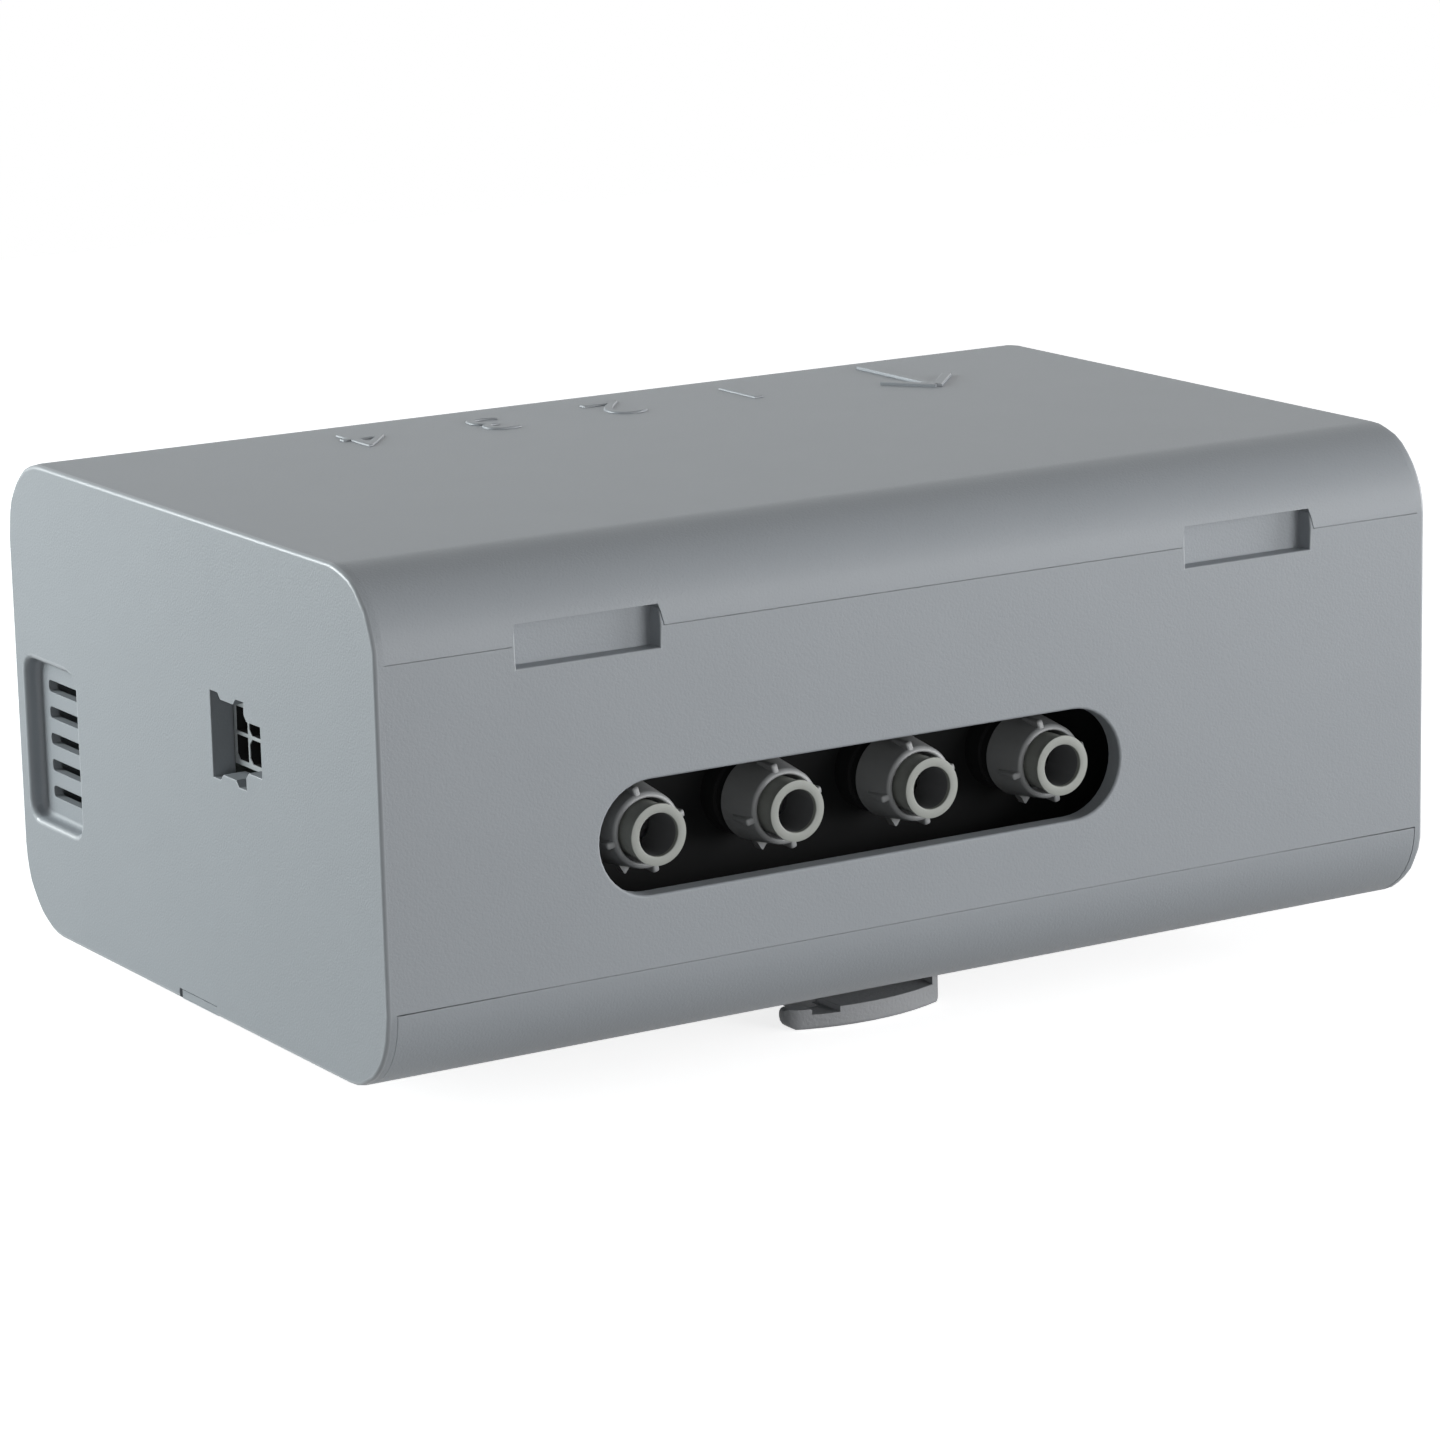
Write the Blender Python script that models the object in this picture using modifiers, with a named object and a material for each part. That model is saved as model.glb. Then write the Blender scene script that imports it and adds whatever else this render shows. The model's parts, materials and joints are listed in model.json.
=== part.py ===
"""Rail-mounted air valve unit with push-in tube ports, in metres with +Z up.

The unit lies on its rail clip. X runs along the housing, the ports face -Y and the origin
is on the resting plane under the middle of the housing.
"""

import math

import bmesh
import bpy
from mathutils import Matrix, Vector

# Gaps and overlaps
CLEARANCE = 0.0003
RUNNING_GAP = 0.0003
MERGE = 0.0006
BEYOND = 0.002

# Housing
LENGTH = 0.180
DEPTH = 0.120
HEIGHT = 0.074
EDGE_RADIUS = 0.0125
WALL = 0.003
END_WALL = 0.003
END_RIM = 0.0015
END_ROUNDING = 0.0009
COVER_END_GAP = 0.0001
BASE_END_GAP = 0.0003
SKIN = 0.0024
BASE_LIP = 0.0016
BASE_LIP_RISE = 0.004
BASE_LIP_END = 0.012
NOTCH_WIDTH = 0.0125
NOTCH_HEIGHT = 0.0016

# Pry windows on the cover's seam
WINDOW_FROM_END = 0.03335
WINDOW_WIDTH = 0.023
WINDOW_HEIGHT = 0.0062
WINDOW_WEB = 0.0003
WINDOW_FLARE = 0.0013
RIM_SETBACK = 0.00005
TONGUE_LAP = 0.0015
TONGUE_THICKNESS = 0.0017
TONGUE_ROOT = 0.006
TONGUE_RISE = 0.0045

# Row of ports
PORT_COUNT = 4
PORT_PITCH = 0.023
PORT_ROW_X = -0.01135
PORT_RISE = 0.0315
SLOT_HEIGHT = 0.0167
SLOT_MARGIN = 0.00155

# Push-in fitting, with depths counted inwards from the port face
COLLET_FACE = 0.0006
COLLET_STAND = 0.0018
COLLET_FLANGE = 0.0006
COLLET_WALL = 0.0012
COLLET_LIP = 0.0003
COLLET_LENGTH = 0.008
COLLET_TRAVEL = 0.001
TUBE_RADIUS = 0.003
TUBE_CLEARANCE = 0.0001
FITTING_WALL = 0.001
FITTING_RIM_CHAMFER = 0.0003
FITTING_CONE_LENGTH = 0.0078
FITTING_CONE_FLARE = 0.0009
FITTING_GROOVE_DEPTH = 0.0007
FITTING_GROOVE = 0.0015
SHOULDER_STEP = 0.0003
SHOULDER_LENGTH = 0.0035
STEM_WALL = 0.0019
STEM_LENGTH = 0.007
FLOW_RADIUS = 0.002
TUBE_SEAT_LENGTH = 0.0048
RIB_COUNT = 4
RIB_WIDTH = 0.001
RIB_HEIGHT = 0.0009
RIB_CREST = 0.0008
RIB_LENGTH = 0.0036
RIB_TURN = math.radians(-14)
KEEL_DEPTH = 0.0062
KEEL_LENGTH = 0.0016
KEEL_WIDTH = 0.0026
KEEL_HEIGHT = 0.0014
GRAB_RING_THICKNESS = 0.0004
SEAL_RADIUS = 0.0006

# Manifold, valves and pump
MANIFOLD_DEPTH = 0.0137
MANIFOLD_HEIGHT = 0.031
MANIFOLD_END = 0.020
PILLAR_SIDE = 0.008
SCREW_RADIUS = 0.0015
SCREW_HEAD_RADIUS = 0.0028
SCREW_HEAD = 0.0018
SCREW_GRIP = 0.008
COIL_WIDTH = 0.019
COIL_LENGTH = 0.033
COIL_HEIGHT = 0.021
COIL_ROUNDING = 0.0015
PLUNGER_RADIUS = 0.0032
PLUNGER_LENGTH = 0.018
PLUNGER_TRAVEL = 0.001
NIPPLE_RADIUS = 0.0025
NIPPLE_LENGTH = 0.007
HOSE_WALL = 0.001
HOSE_BEND = 0.010
HOSE_STRAIGHT = 0.00185
PUMP_WALL_GAP = 0.011
PUMP_HEAD_WIDTH = 0.028
PUMP_HEAD_DEPTH = 0.020
PUMP_HEAD_ABOVE = 0.006
MOTOR_RADIUS = 0.012
MOTOR_LENGTH = 0.031
MOTOR_LIFT = 0.0015
SADDLE_THICKNESS = 0.004
SADDLE_RISE = 0.006

# Header, board and vent on the left end wall
HEADER_FROM_FRONT = 0.0462
HEADER_RISE = 0.0429
HEADER_SETBACK = 0.0033
HEADER_LENGTH = 0.0128
HEADER_PITCH = 0.0042
HEADER_WEB = 0.0006
HEADER_RIM = 0.0008
HEADER_FLOOR = 0.003
POCKET_CHAMFER = 0.0008
RAMP_SETBACK = 0.001
RAMP_HEIGHT = 0.001
RAMP_LENGTH = 0.0028
RAMP_WIDTH = 0.0034
PIN_SIDE = 0.001
PIN_TAIL = 0.0025
PIN_REACH = 0.0075
PLUG_EDGE = 0.0055
PLUG_EAR = 0.0009
PLUG_MARGIN = 0.0006
PLUG_LATCH_REACH = 0.0051
PLUG_LATCH_HALF = 0.0037
COLLAR_RIM = 0.002
BOARD_THICKNESS = 0.0016
BOARD_HEIGHT = 0.050
BOARD_SLOT_DEPTH = 0.003
BOARD_SHOE = 0.006
VENT_FROM_BACK = 0.0125
VENT_RISE = 0.0303
VENT_WIDTH = 0.018
VENT_TALL = 0.0251
VENT_CORNER = 0.0025
VENT_DEPTH = 0.0024
VENT_FLOOR = 0.0015
VENT_SLOTS = 5
VENT_SLOT = 0.0018
VENT_SLOT_LENGTH = 0.0114
VENT_SLOT_CORNER = 0.0006
VENT_PITCH = 0.00417
VENT_PAD_RIM = 0.0012

# Rail clip
CLIP_DROP = 0.0074
RAIL_WIDTH = 0.035
RAIL_LIP_SPACE = 0.0016
HOOK_BITE = 0.003
HOOK_LENGTH = 0.009
PLATE_THICKNESS = 0.0023
PLATE_SIDE_GAP = 0.00055
PLATE_RIM = 0.0057
LATCH_WIDTH = 0.0267
LATCH_FRONT = 0.017
LATCH_BULGE = 0.0028
LATCH_ROUNDING = 0.0019
LATCH_LOW_LEFT = 0.0019
LATCH_LOW_RIGHT = 0.001
LATCH_HIGH_LEFT = 0.0008
LATCH_TRAVEL = 0.005
HEAD_DEPTH = 0.0024
HEAD_WEB = 0.0014
SLIDE_WIDTH = 0.0128
KEY_LENGTH = 0.008
KEY_STEM_WIDTH = 0.004
KEY_HEAD_WIDTH = 0.008
KEY_LEDGE = 0.001
POST_WIDTH = 0.0013
BLADE_SLOT_WIDTH = 0.0043
BLADE_SLOT_FROM_END = 0.0035
BLADE_SLOT_DEPTH = 0.0009
CLIP_SCREW_SPACING = 0.016

# Facets
ARC_STEPS = 10
ROUND_STEPS = 24
FINE_STEPS = 16
CORNER_STEPS = 4
SMALL_STEPS = 2
SEAL_STEPS = 6

# Places worked out from the sizes
BOTTOM = CLIP_DROP
TOP = BOTTOM + HEIGHT
FLOOR = BOTTOM + SKIN
LOWER_SEAM = BOTTOM + EDGE_RADIUS
UPPER_SEAM = TOP - EDGE_RADIUS
FRONT = -DEPTH / 2
LEFT = -LENGTH / 2
INNER_X = LENGTH / 2 - END_WALL
RIM_X = LENGTH / 2 - END_RIM
INNER_Y = DEPTH / 2 - WALL
WINDOW_X = LENGTH / 2 - WINDOW_FROM_END
WINDOW_DEPTH = WALL - WINDOW_WEB
TONGUE_WIDTH = WINDOW_WIDTH + 2 * TONGUE_LAP
PORT_Z = BOTTOM + PORT_RISE
PORT_SPAN = (PORT_COUNT - 1) * PORT_PITCH
PORT_X = [PORT_ROW_X + PORT_SPAN / 2 - PORT_PITCH * index for index in range(PORT_COUNT)]

BORE_RADIUS = TUBE_RADIUS + TUBE_CLEARANCE
COLLET_NECK_RADIUS = BORE_RADIUS + COLLET_WALL
COLLET_FLANGE_RADIUS = COLLET_NECK_RADIUS + COLLET_LIP
RIM_DEPTH = COLLET_FACE + COLLET_STAND + COLLET_TRAVEL + RUNNING_GAP
SLEEVE_RADIUS = COLLET_NECK_RADIUS + RUNNING_GAP
FITTING_RIM_RADIUS = SLEEVE_RADIUS + FITTING_WALL
FITTING_CONE_RADIUS = FITTING_RIM_RADIUS + FITTING_CONE_FLARE
FITTING_GROOVE_RADIUS = FITTING_CONE_RADIUS - FITTING_GROOVE_DEPTH
SHOULDER_RADIUS = FITTING_CONE_RADIUS + SHOULDER_STEP
STEM_RADIUS = BORE_RADIUS + STEM_WALL
SEAL_BORE_RADIUS = BORE_RADIUS + 2 * SEAL_RADIUS + 2 * CLEARANCE
COLLET_END = COLLET_FACE + COLLET_LENGTH
GRAB_RING_DEPTH = COLLET_END + COLLET_TRAVEL + RUNNING_GAP
SEAL_DEPTH = GRAB_RING_DEPTH + GRAB_RING_THICKNESS + CLEARANCE + SEAL_RADIUS
SEAL_SEAT_DEPTH = SEAL_DEPTH + SEAL_RADIUS + CLEARANCE
TUBE_STOP_DEPTH = SEAL_SEAT_DEPTH + TUBE_SEAT_LENGTH
CONE_END = RIM_DEPTH + FITTING_RIM_CHAMFER + FITTING_CONE_LENGTH
SHOULDER_DEPTH = CONE_END + FITTING_GROOVE
STEM_DEPTH = SHOULDER_DEPTH + SHOULDER_LENGTH
MANIFOLD_FRONT = FRONT + STEM_DEPTH + CLEARANCE
MANIFOLD_BACK = MANIFOLD_FRONT + MANIFOLD_DEPTH
MANIFOLD_Y = (MANIFOLD_FRONT + MANIFOLD_BACK) / 2
MANIFOLD_LOW = PORT_Z - MANIFOLD_HEIGHT / 2
MANIFOLD_HIGH = PORT_Z + MANIFOLD_HEIGHT / 2
MANIFOLD_LEFT = PORT_X[-1] - MANIFOLD_END
PUMP_X = INNER_X - PUMP_WALL_GAP - PUMP_HEAD_WIDTH / 2
MANIFOLD_RIGHT = PUMP_X - HOSE_BEND - HOSE_STRAIGHT - NIPPLE_LENGTH
PILLAR_X = [(PORT_X[0] + PORT_X[1]) / 2, (PORT_X[-2] + PORT_X[-1]) / 2]

HOSE_BORE = NIPPLE_RADIUS + CLEARANCE
HOSE_RADIUS = HOSE_BORE + HOSE_WALL
PUMP_FRONT = MANIFOLD_Y + HOSE_BEND + NIPPLE_LENGTH + CLEARANCE
MOTOR_FRONT = PUMP_FRONT + PUMP_HEAD_DEPTH + CLEARANCE
MOTOR_Z = FLOOR + MOTOR_LIFT + MOTOR_RADIUS + CLEARANCE

VENT_Y = DEPTH / 2 - VENT_FROM_BACK
VENT_Z = BOTTOM + VENT_RISE
VENT_BACK = LEFT + VENT_DEPTH + VENT_FLOOR
HEADER_Y = FRONT + HEADER_FROM_FRONT
HEADER_Z = BOTTOM + HEADER_RISE
HEADER_POCKET = HEADER_PITCH - HEADER_WEB
HEADER_SIDE = HEADER_PITCH + HEADER_POCKET + 2 * HEADER_RIM
HEADER_FRONT = LEFT + HEADER_SETBACK
HEADER_BACK = HEADER_FRONT + HEADER_LENGTH
BOARD_LEFT = HEADER_BACK + CLEARANCE
BOARD_RIGHT = BOARD_LEFT + BOARD_THICKNESS
BOARD_LOW = FLOOR + BOARD_SHOE - BOARD_SLOT_DEPTH + CLEARANCE
BOARD_FRONT = HEADER_Y - HEADER_SIDE
BOARD_BACK = INNER_Y - BASE_LIP - 2 * CLEARANCE
PIN_PLACES = [
    (HEADER_Y + HEADER_PITCH * side, HEADER_Z + HEADER_PITCH * level)
    for level in (0.5, -0.5)
    for side in (0.5, -0.5)
]
# Corners cut off each pocket, as steps across and up from its middle, in the pins' order
INNER_CORNERS = ((1, 1), (1, -1))
LOW_OUTER_CORNER = ((1, -1),)
POCKET_TRIMS = [(), INNER_CORNERS, LOW_OUTER_CORNER, INNER_CORNERS]

PLATE_WIDTH = LATCH_WIDTH - 2 * (POST_WIDTH + PLATE_SIDE_GAP)
PLATE_TOP = BOTTOM - CLEARANCE
PLATE_LOW = PLATE_TOP - PLATE_THICKNESS
LATCH_TOP = PLATE_LOW - RAIL_LIP_SPACE
RAIL_EDGE = RAIL_WIDTH / 2
LATCH_TIP = -RAIL_EDGE + HOOK_BITE
LATCH_NOSE = FRONT + LATCH_FRONT
HEAD_BACK = LATCH_NOSE + LATCH_BULGE + HEAD_DEPTH
KEY_BACK = LATCH_TIP - HOOK_BITE / 2
KEY_FRONT = KEY_BACK - KEY_LENGTH
KEY_SLOT_FRONT = KEY_FRONT - LATCH_TRAVEL - RUNNING_GAP
KEY_SLOT_BACK = KEY_BACK + RUNNING_GAP
CLIP_SCREW_Y = [-CLIP_SCREW_SPACING / 2, CLIP_SCREW_SPACING / 2]

# Axes of an outline: across, up, and through its thickness
OUTLINE_AXES = {
    "X": (Vector((0, 1, 0)), Vector((0, 0, 1)), Vector((1, 0, 0))),
    "Y": (Vector((1, 0, 0)), Vector((0, 0, 1)), Vector((0, 1, 0))),
    "Z": (Vector((1, 0, 0)), Vector((0, 1, 0)), Vector((0, 0, 1))),
}
TURN_TO = {
    "X": Matrix.Rotation(math.pi / 2, 4, "Y"),
    "Y": Matrix.Rotation(-math.pi / 2, 4, "X"),
    "Z": Matrix.Identity(4),
    "-Z": Matrix.Rotation(math.pi, 4, "X"),
}
MILLIMETRE = 0.001
WELD = 0.000001
SMOOTH_ANGLE = math.radians(35)


# Scene and materials
def new_collection(name):
    made = bpy.data.collections.new(name)
    bpy.context.scene.collection.children.link(made)
    return made


def finish(name, red, green, blue, roughness, metallic=0.0):
    """A plain surface; the colour is linear."""
    made = bpy.data.materials.new(name)
    made.use_nodes = True
    shader = made.node_tree.nodes["Principled BSDF"]
    shader.inputs["Base Color"].default_value = (red, green, blue, 1)
    shader.inputs["Roughness"].default_value = roughness
    shader.inputs["Metallic"].default_value = metallic
    made.diffuse_color = (red, green, blue, 1)
    return made


for old in list(bpy.data.objects):
    bpy.data.objects.remove(old, do_unlink=True)
PARTS = new_collection("air_valve_unit")
CUTTERS = new_collection("cutters")
UNIT = bpy.data.objects.new("unit_origin", None)
PARTS.objects.link(UNIT)

HOUSING_GREY = finish("housing_grey_abs", 0.30, 0.31, 0.32, 0.5)
COLLET_GREY = finish("collet_light_grey", 0.40, 0.40, 0.38, 0.45)
FITTING_GREY = finish("fitting_dark_grey", 0.12, 0.125, 0.13, 0.5)
CLIP_GREY = finish("clip_filled_nylon", 0.16, 0.165, 0.17, 0.7)
BLACK_NYLON = finish("black_nylon", 0.02, 0.02, 0.022, 0.55)
RUBBER_BLACK = finish("seal_rubber", 0.015, 0.015, 0.015, 0.8)
STEEL = finish("steel", 0.55, 0.55, 0.55, 0.35, 1.0)
BRASS = finish("tinned_brass", 0.65, 0.60, 0.45, 0.3, 1.0)
BOARD_GREEN = finish("board_green", 0.02, 0.10, 0.05, 0.5)
COIL_BLACK = finish("coil_resin", 0.03, 0.03, 0.035, 0.5)
HEADER_GREY = finish("header_nylon", 0.33, 0.34, 0.34, 0.5)
HOSE_BLACK = finish("black_hose", 0.02, 0.02, 0.02, 0.5)


# Construction solids
def solid(name, bm):
    """A closed shape that cuts, joins or becomes a part."""
    bmesh.ops.recalc_face_normals(bm, faces=bm.faces[:])
    mesh = bpy.data.meshes.new(name)
    bm.to_mesh(mesh)
    bm.free()
    made = bpy.data.objects.new(name, mesh)
    made.hide_render = True
    made.display_type = "WIRE"
    CUTTERS.objects.link(made)
    return made


def evaluated_mesh(obj):
    bpy.context.view_layer.update()
    graph = bpy.context.evaluated_depsgraph_get()
    return bpy.data.meshes.new_from_object(obj.evaluated_get(graph))


def welded(obj, unit=1.0):
    """The evaluated shape of a curve or a modifier stack as a solid of its own."""
    bm = bmesh.new()
    bm.from_mesh(evaluated_mesh(obj))
    bmesh.ops.remove_doubles(bm, verts=bm.verts[:], dist=WELD / unit)
    name = obj.name
    bpy.data.objects.remove(obj, do_unlink=True)
    return solid(name, bm)


def box(name, low, high):
    low = Vector(low)
    high = Vector(high)
    bm = bmesh.new()
    bmesh.ops.create_cube(bm, size=1)
    bmesh.ops.scale(bm, vec=high - low, verts=bm.verts[:])
    bmesh.ops.translate(bm, vec=(low + high) / 2, verts=bm.verts[:])
    return solid(name, bm)


def cylinder(name, start, axis, radius, length, sides=ROUND_STEPS):
    bm = bmesh.new()
    bmesh.ops.create_cone(
        bm, cap_ends=True, segments=sides, radius1=radius, radius2=radius, depth=length
    )
    bmesh.ops.translate(bm, vec=(0, 0, length / 2), verts=bm.verts[:])
    placed = Matrix.Translation(start) @ TURN_TO[axis]
    bmesh.ops.transform(bm, matrix=placed, verts=bm.verts[:])
    return solid(name, bm)


def arc(centre, radius, start, end, steps=ARC_STEPS):
    """Points of an arc from one angle to another, in degrees."""
    points = []
    for step in range(steps + 1):
        angle = math.radians(start + (end - start) * step / steps)
        points.append((centre[0] + radius * math.cos(angle), centre[1] + radius * math.sin(angle)))
    return points


def rounded_rectangle(centre, width, height, radius, steps=ARC_STEPS):
    points = []
    corners = ((1, 1, 0), (-1, 1, 90), (-1, -1, 180), (1, -1, 270))
    for across, up, angle in corners:
        middle = (
            centre[0] + across * (width / 2 - radius),
            centre[1] + up * (height / 2 - radius),
        )
        points += arc(middle, radius, angle, angle + 90, steps)
    return points


def prism(name, outline, axis, low, high):
    """A flat outline given its thickness along an axis. The fill works in millimetres."""
    curve = bpy.data.curves.new(name, "CURVE")
    curve.dimensions = "2D"
    curve.fill_mode = "BOTH"
    curve.extrude = (high - low) / 2 / MILLIMETRE
    spline = curve.splines.new("POLY")
    spline.points.add(len(outline) - 1)
    for point, (across, up) in zip(spline.points, outline):
        point.co = (across / MILLIMETRE, up / MILLIMETRE, 0, 1)
    spline.use_cyclic_u = True
    made = bpy.data.objects.new(name, curve)
    CUTTERS.objects.link(made)
    made = welded(made, MILLIMETRE)
    across, up, through = OUTLINE_AXES[axis]
    turned_axes = Matrix((across, up, through)).transposed().to_4x4()
    lift = Matrix.Translation(through * (low + high) / 2)
    made.data.transform(lift @ turned_axes @ Matrix.Scale(MILLIMETRE, 4))
    facing = bmesh.new()
    facing.from_mesh(made.data)
    bmesh.ops.recalc_face_normals(facing, faces=facing.faces[:])
    facing.to_mesh(made.data)
    facing.free()
    return made


def turned(name, profile, axis, closed=True, steps=ROUND_STEPS):
    """A profile of (radius, distance along the axis) points turned about the axis."""
    count = len(profile)
    edges = [(index, index + 1) for index in range(count - 1)]
    if closed:
        edges.append((count - 1, 0))
    mesh = bpy.data.meshes.new(name)
    mesh.from_pydata([(radius, 0, along) for radius, along in profile], edges, [])
    made = bpy.data.objects.new(name, mesh)
    CUTTERS.objects.link(made)
    screw = made.modifiers.new("turn", "SCREW")
    screw.steps = steps
    screw.render_steps = steps
    screw.use_merge_vertices = True
    screw.merge_threshold = WELD
    made = welded(made)
    made.data.transform(TURN_TO[axis])
    return made


def rounded(obj, width, segments, chosen):
    """Rounds the edges whose middle and direction the test accepts."""
    bm = bmesh.new()
    bm.from_mesh(obj.data)
    edges = []
    for edge in bm.edges:
        start, end = (vertex.co for vertex in edge.verts)
        sharp = edge.calc_face_angle(0) > SMOOTH_ANGLE
        if sharp and chosen((start + end) / 2, (end - start).normalized()):
            edges.append(edge)
    bmesh.ops.bevel(
        bm,
        geom=edges,
        offset=width,
        segments=segments,
        profile=0.5,
        affect="EDGES",
        clamp_overlap=True,
    )
    bm.to_mesh(obj.data)
    bm.free()
    return obj


def cut(target, *cutters):
    for cutter in cutters:
        boolean = target.modifiers.new("cut " + cutter.name, "BOOLEAN")
        boolean.operation = "DIFFERENCE"
        boolean.object = cutter
    return target


def fuse(target, *pieces):
    for piece in pieces:
        boolean = target.modifiers.new("fuse " + piece.name, "BOOLEAN")
        boolean.operation = "UNION"
        boolean.object = piece
    return target


def part(name, obj, material, location=(0, 0, 0)):
    """Makes a construction solid a finished part of the unit."""
    mesh = evaluated_mesh(obj)
    mesh.name = name
    mesh.materials.clear()
    mesh.materials.append(material)
    mesh.shade_smooth()
    mesh.set_sharp_from_angle(angle=SMOOTH_ANGLE)
    bpy.data.objects.remove(obj, do_unlink=True)
    return copy_of(name, mesh, location)


def copy_of(name, mesh, location):
    made = bpy.data.objects.new(name, mesh)
    made.location = location
    made.parent = UNIT
    PARTS.objects.link(made)
    return made


# Housing
def window_outline(x, top):
    """A pry window, a little wider at the seam, as far up as the top given."""
    half = WINDOW_WIDTH / 2
    flared = half + WINDOW_FLARE
    reach = WINDOW_HEIGHT / 2
    if top:
        return [
            (x - half, UPPER_SEAM + reach),
            (x + half, UPPER_SEAM + reach),
            (x + flared, UPPER_SEAM - BEYOND),
            (x - flared, UPPER_SEAM - BEYOND),
        ]
    return [
        (x - half, UPPER_SEAM - reach),
        (x + half, UPPER_SEAM - reach),
        (x + half, UPPER_SEAM + reach),
        (x - half, UPPER_SEAM + reach),
    ]


def on_each_face(depth_low, depth_high):
    """Ranges along Y for a depth under the front face and under the back face."""
    front = (FRONT + depth_low, FRONT + depth_high)
    back = (-FRONT - depth_high, -FRONT - depth_low)
    return front, back


def window_cutters(top):
    made = []
    for low, high in on_each_face(-BEYOND, WINDOW_DEPTH):
        for x in (-WINDOW_X, WINDOW_X):
            made.append(prism("window", window_outline(x, top), "Y", low, high))
    return made


def window_rims():
    """Wedges on the tongues that fill the flare of the cover's notches, but for half a clearance."""
    made = []
    half = WINDOW_WIDTH / 2
    reach = WINDOW_HEIGHT / 2
    flare = WINDOW_FLARE * reach / (reach + BEYOND)
    wide = half + flare - CLEARANCE / 2
    rise = reach * (wide - half) / flare
    section = [(half - MERGE, -MERGE), (wide, -MERGE), (wide, 0), (half, rise), (half - MERGE, rise)]
    for low, high in on_each_face(RIM_SETBACK, WINDOW_DEPTH + MERGE):
        for x in (-WINDOW_X, WINDOW_X):
            for side in (-1, 1):
                outline = [(x + side * across, UPPER_SEAM + up) for across, up in section]
                made.append(prism("window_rim", outline, "Y", low, high))
    return made


def tongue_boxes(name, grow):
    """Upstanding tongues behind the windows, or with a growth the room they need."""
    made = []
    half = TONGUE_WIDTH / 2 + grow
    for low, high in on_each_face(WINDOW_DEPTH - grow, WINDOW_DEPTH + TONGUE_THICKNESS + grow):
        for x in (-WINDOW_X, WINDOW_X):
            made.append(
                box(
                    name,
                    (x - half, low, UPPER_SEAM - TONGUE_ROOT),
                    (x + half, high, UPPER_SEAM + TONGUE_RISE + grow),
                )
            )
    return made


def plug_outline():
    """Opening for a latched two by two plug: ears at its corners and a recess for its lever."""
    half = HEADER_SIDE / 2
    left = HEADER_Y + half + PLUG_MARGIN
    right = HEADER_Y - half - PLUG_MARGIN
    ear = PLUG_EDGE + PLUG_EAR
    upper = [
        (left, ear),
        (left - half / 2, ear),
        (left - half / 2 - PLUG_EAR, PLUG_EDGE),
        (right + half / 2 + PLUG_EAR, PLUG_EDGE),
        (right + half / 2, ear),
        (right, ear),
        (right, PLUG_LATCH_HALF + PLUG_EAR),
        (right - PLUG_EAR, PLUG_LATCH_HALF),
        (right - PLUG_LATCH_REACH, PLUG_LATCH_HALF),
    ]
    lower = [(across, -up) for across, up in reversed(upper)]
    return [(across, HEADER_Z + up) for across, up in upper + lower]


def plug_collar():
    outer_y = HEADER_SIDE / 2 + PLUG_MARGIN + COLLAR_RIM
    outer_z = PLUG_EDGE + PLUG_EAR + COLLAR_RIM
    return box(
        "plug_collar",
        (LEFT + END_WALL - MERGE, HEADER_Y - outer_y - PLUG_LATCH_REACH, HEADER_Z - outer_z),
        (HEADER_FRONT - CLEARANCE + MERGE, HEADER_Y + outer_y, HEADER_Z + outer_z),
    )


def vent_outline(rim):
    """The vent's rounded pocket, or with a rim the pad that backs it."""
    return rounded_rectangle(
        (VENT_Y, VENT_Z),
        VENT_WIDTH + 2 * rim,
        VENT_TALL + 2 * rim,
        VENT_CORNER + rim,
        CORNER_STEPS,
    )


def vent_pad():
    return prism("vent_pad", vent_outline(VENT_PAD_RIM), "X", LEFT + END_WALL - MERGE, VENT_BACK)


def vent_pocket():
    return prism("vent_pocket", vent_outline(0), "X", LEFT - BEYOND, LEFT + VENT_DEPTH)


def vent_slots():
    made = []
    for index in range(VENT_SLOTS):
        z = VENT_Z + VENT_PITCH * (index - (VENT_SLOTS - 1) / 2)
        outline = rounded_rectangle(
            (VENT_Y, z), VENT_SLOT_LENGTH, VENT_SLOT, VENT_SLOT_CORNER, SMALL_STEPS
        )
        made.append(prism("vent_slot", outline, "X", LEFT + VENT_DEPTH - MERGE, VENT_BACK + BEYOND))
    return made


def port_slot():
    outline = rounded_rectangle(
        (PORT_ROW_X, PORT_Z),
        PORT_SPAN + SLOT_HEIGHT + 2 * SLOT_MARGIN,
        SLOT_HEIGHT,
        SLOT_HEIGHT / 2,
    )
    return prism("port_slot", outline, "Y", FRONT - BEYOND, FRONT + WALL + BEYOND)


def end_notches():
    made = []
    for side in (-1, 1):
        middle = side * (LENGTH / 2 - END_WALL / 2)
        half = END_WALL / 2 + BEYOND
        made.append(
            box(
                "end_notch",
                (middle - half, -NOTCH_WIDTH / 2, BOTTOM - BEYOND),
                (middle + half, NOTCH_WIDTH / 2, BOTTOM + NOTCH_HEIGHT),
            )
        )
    return made


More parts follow.
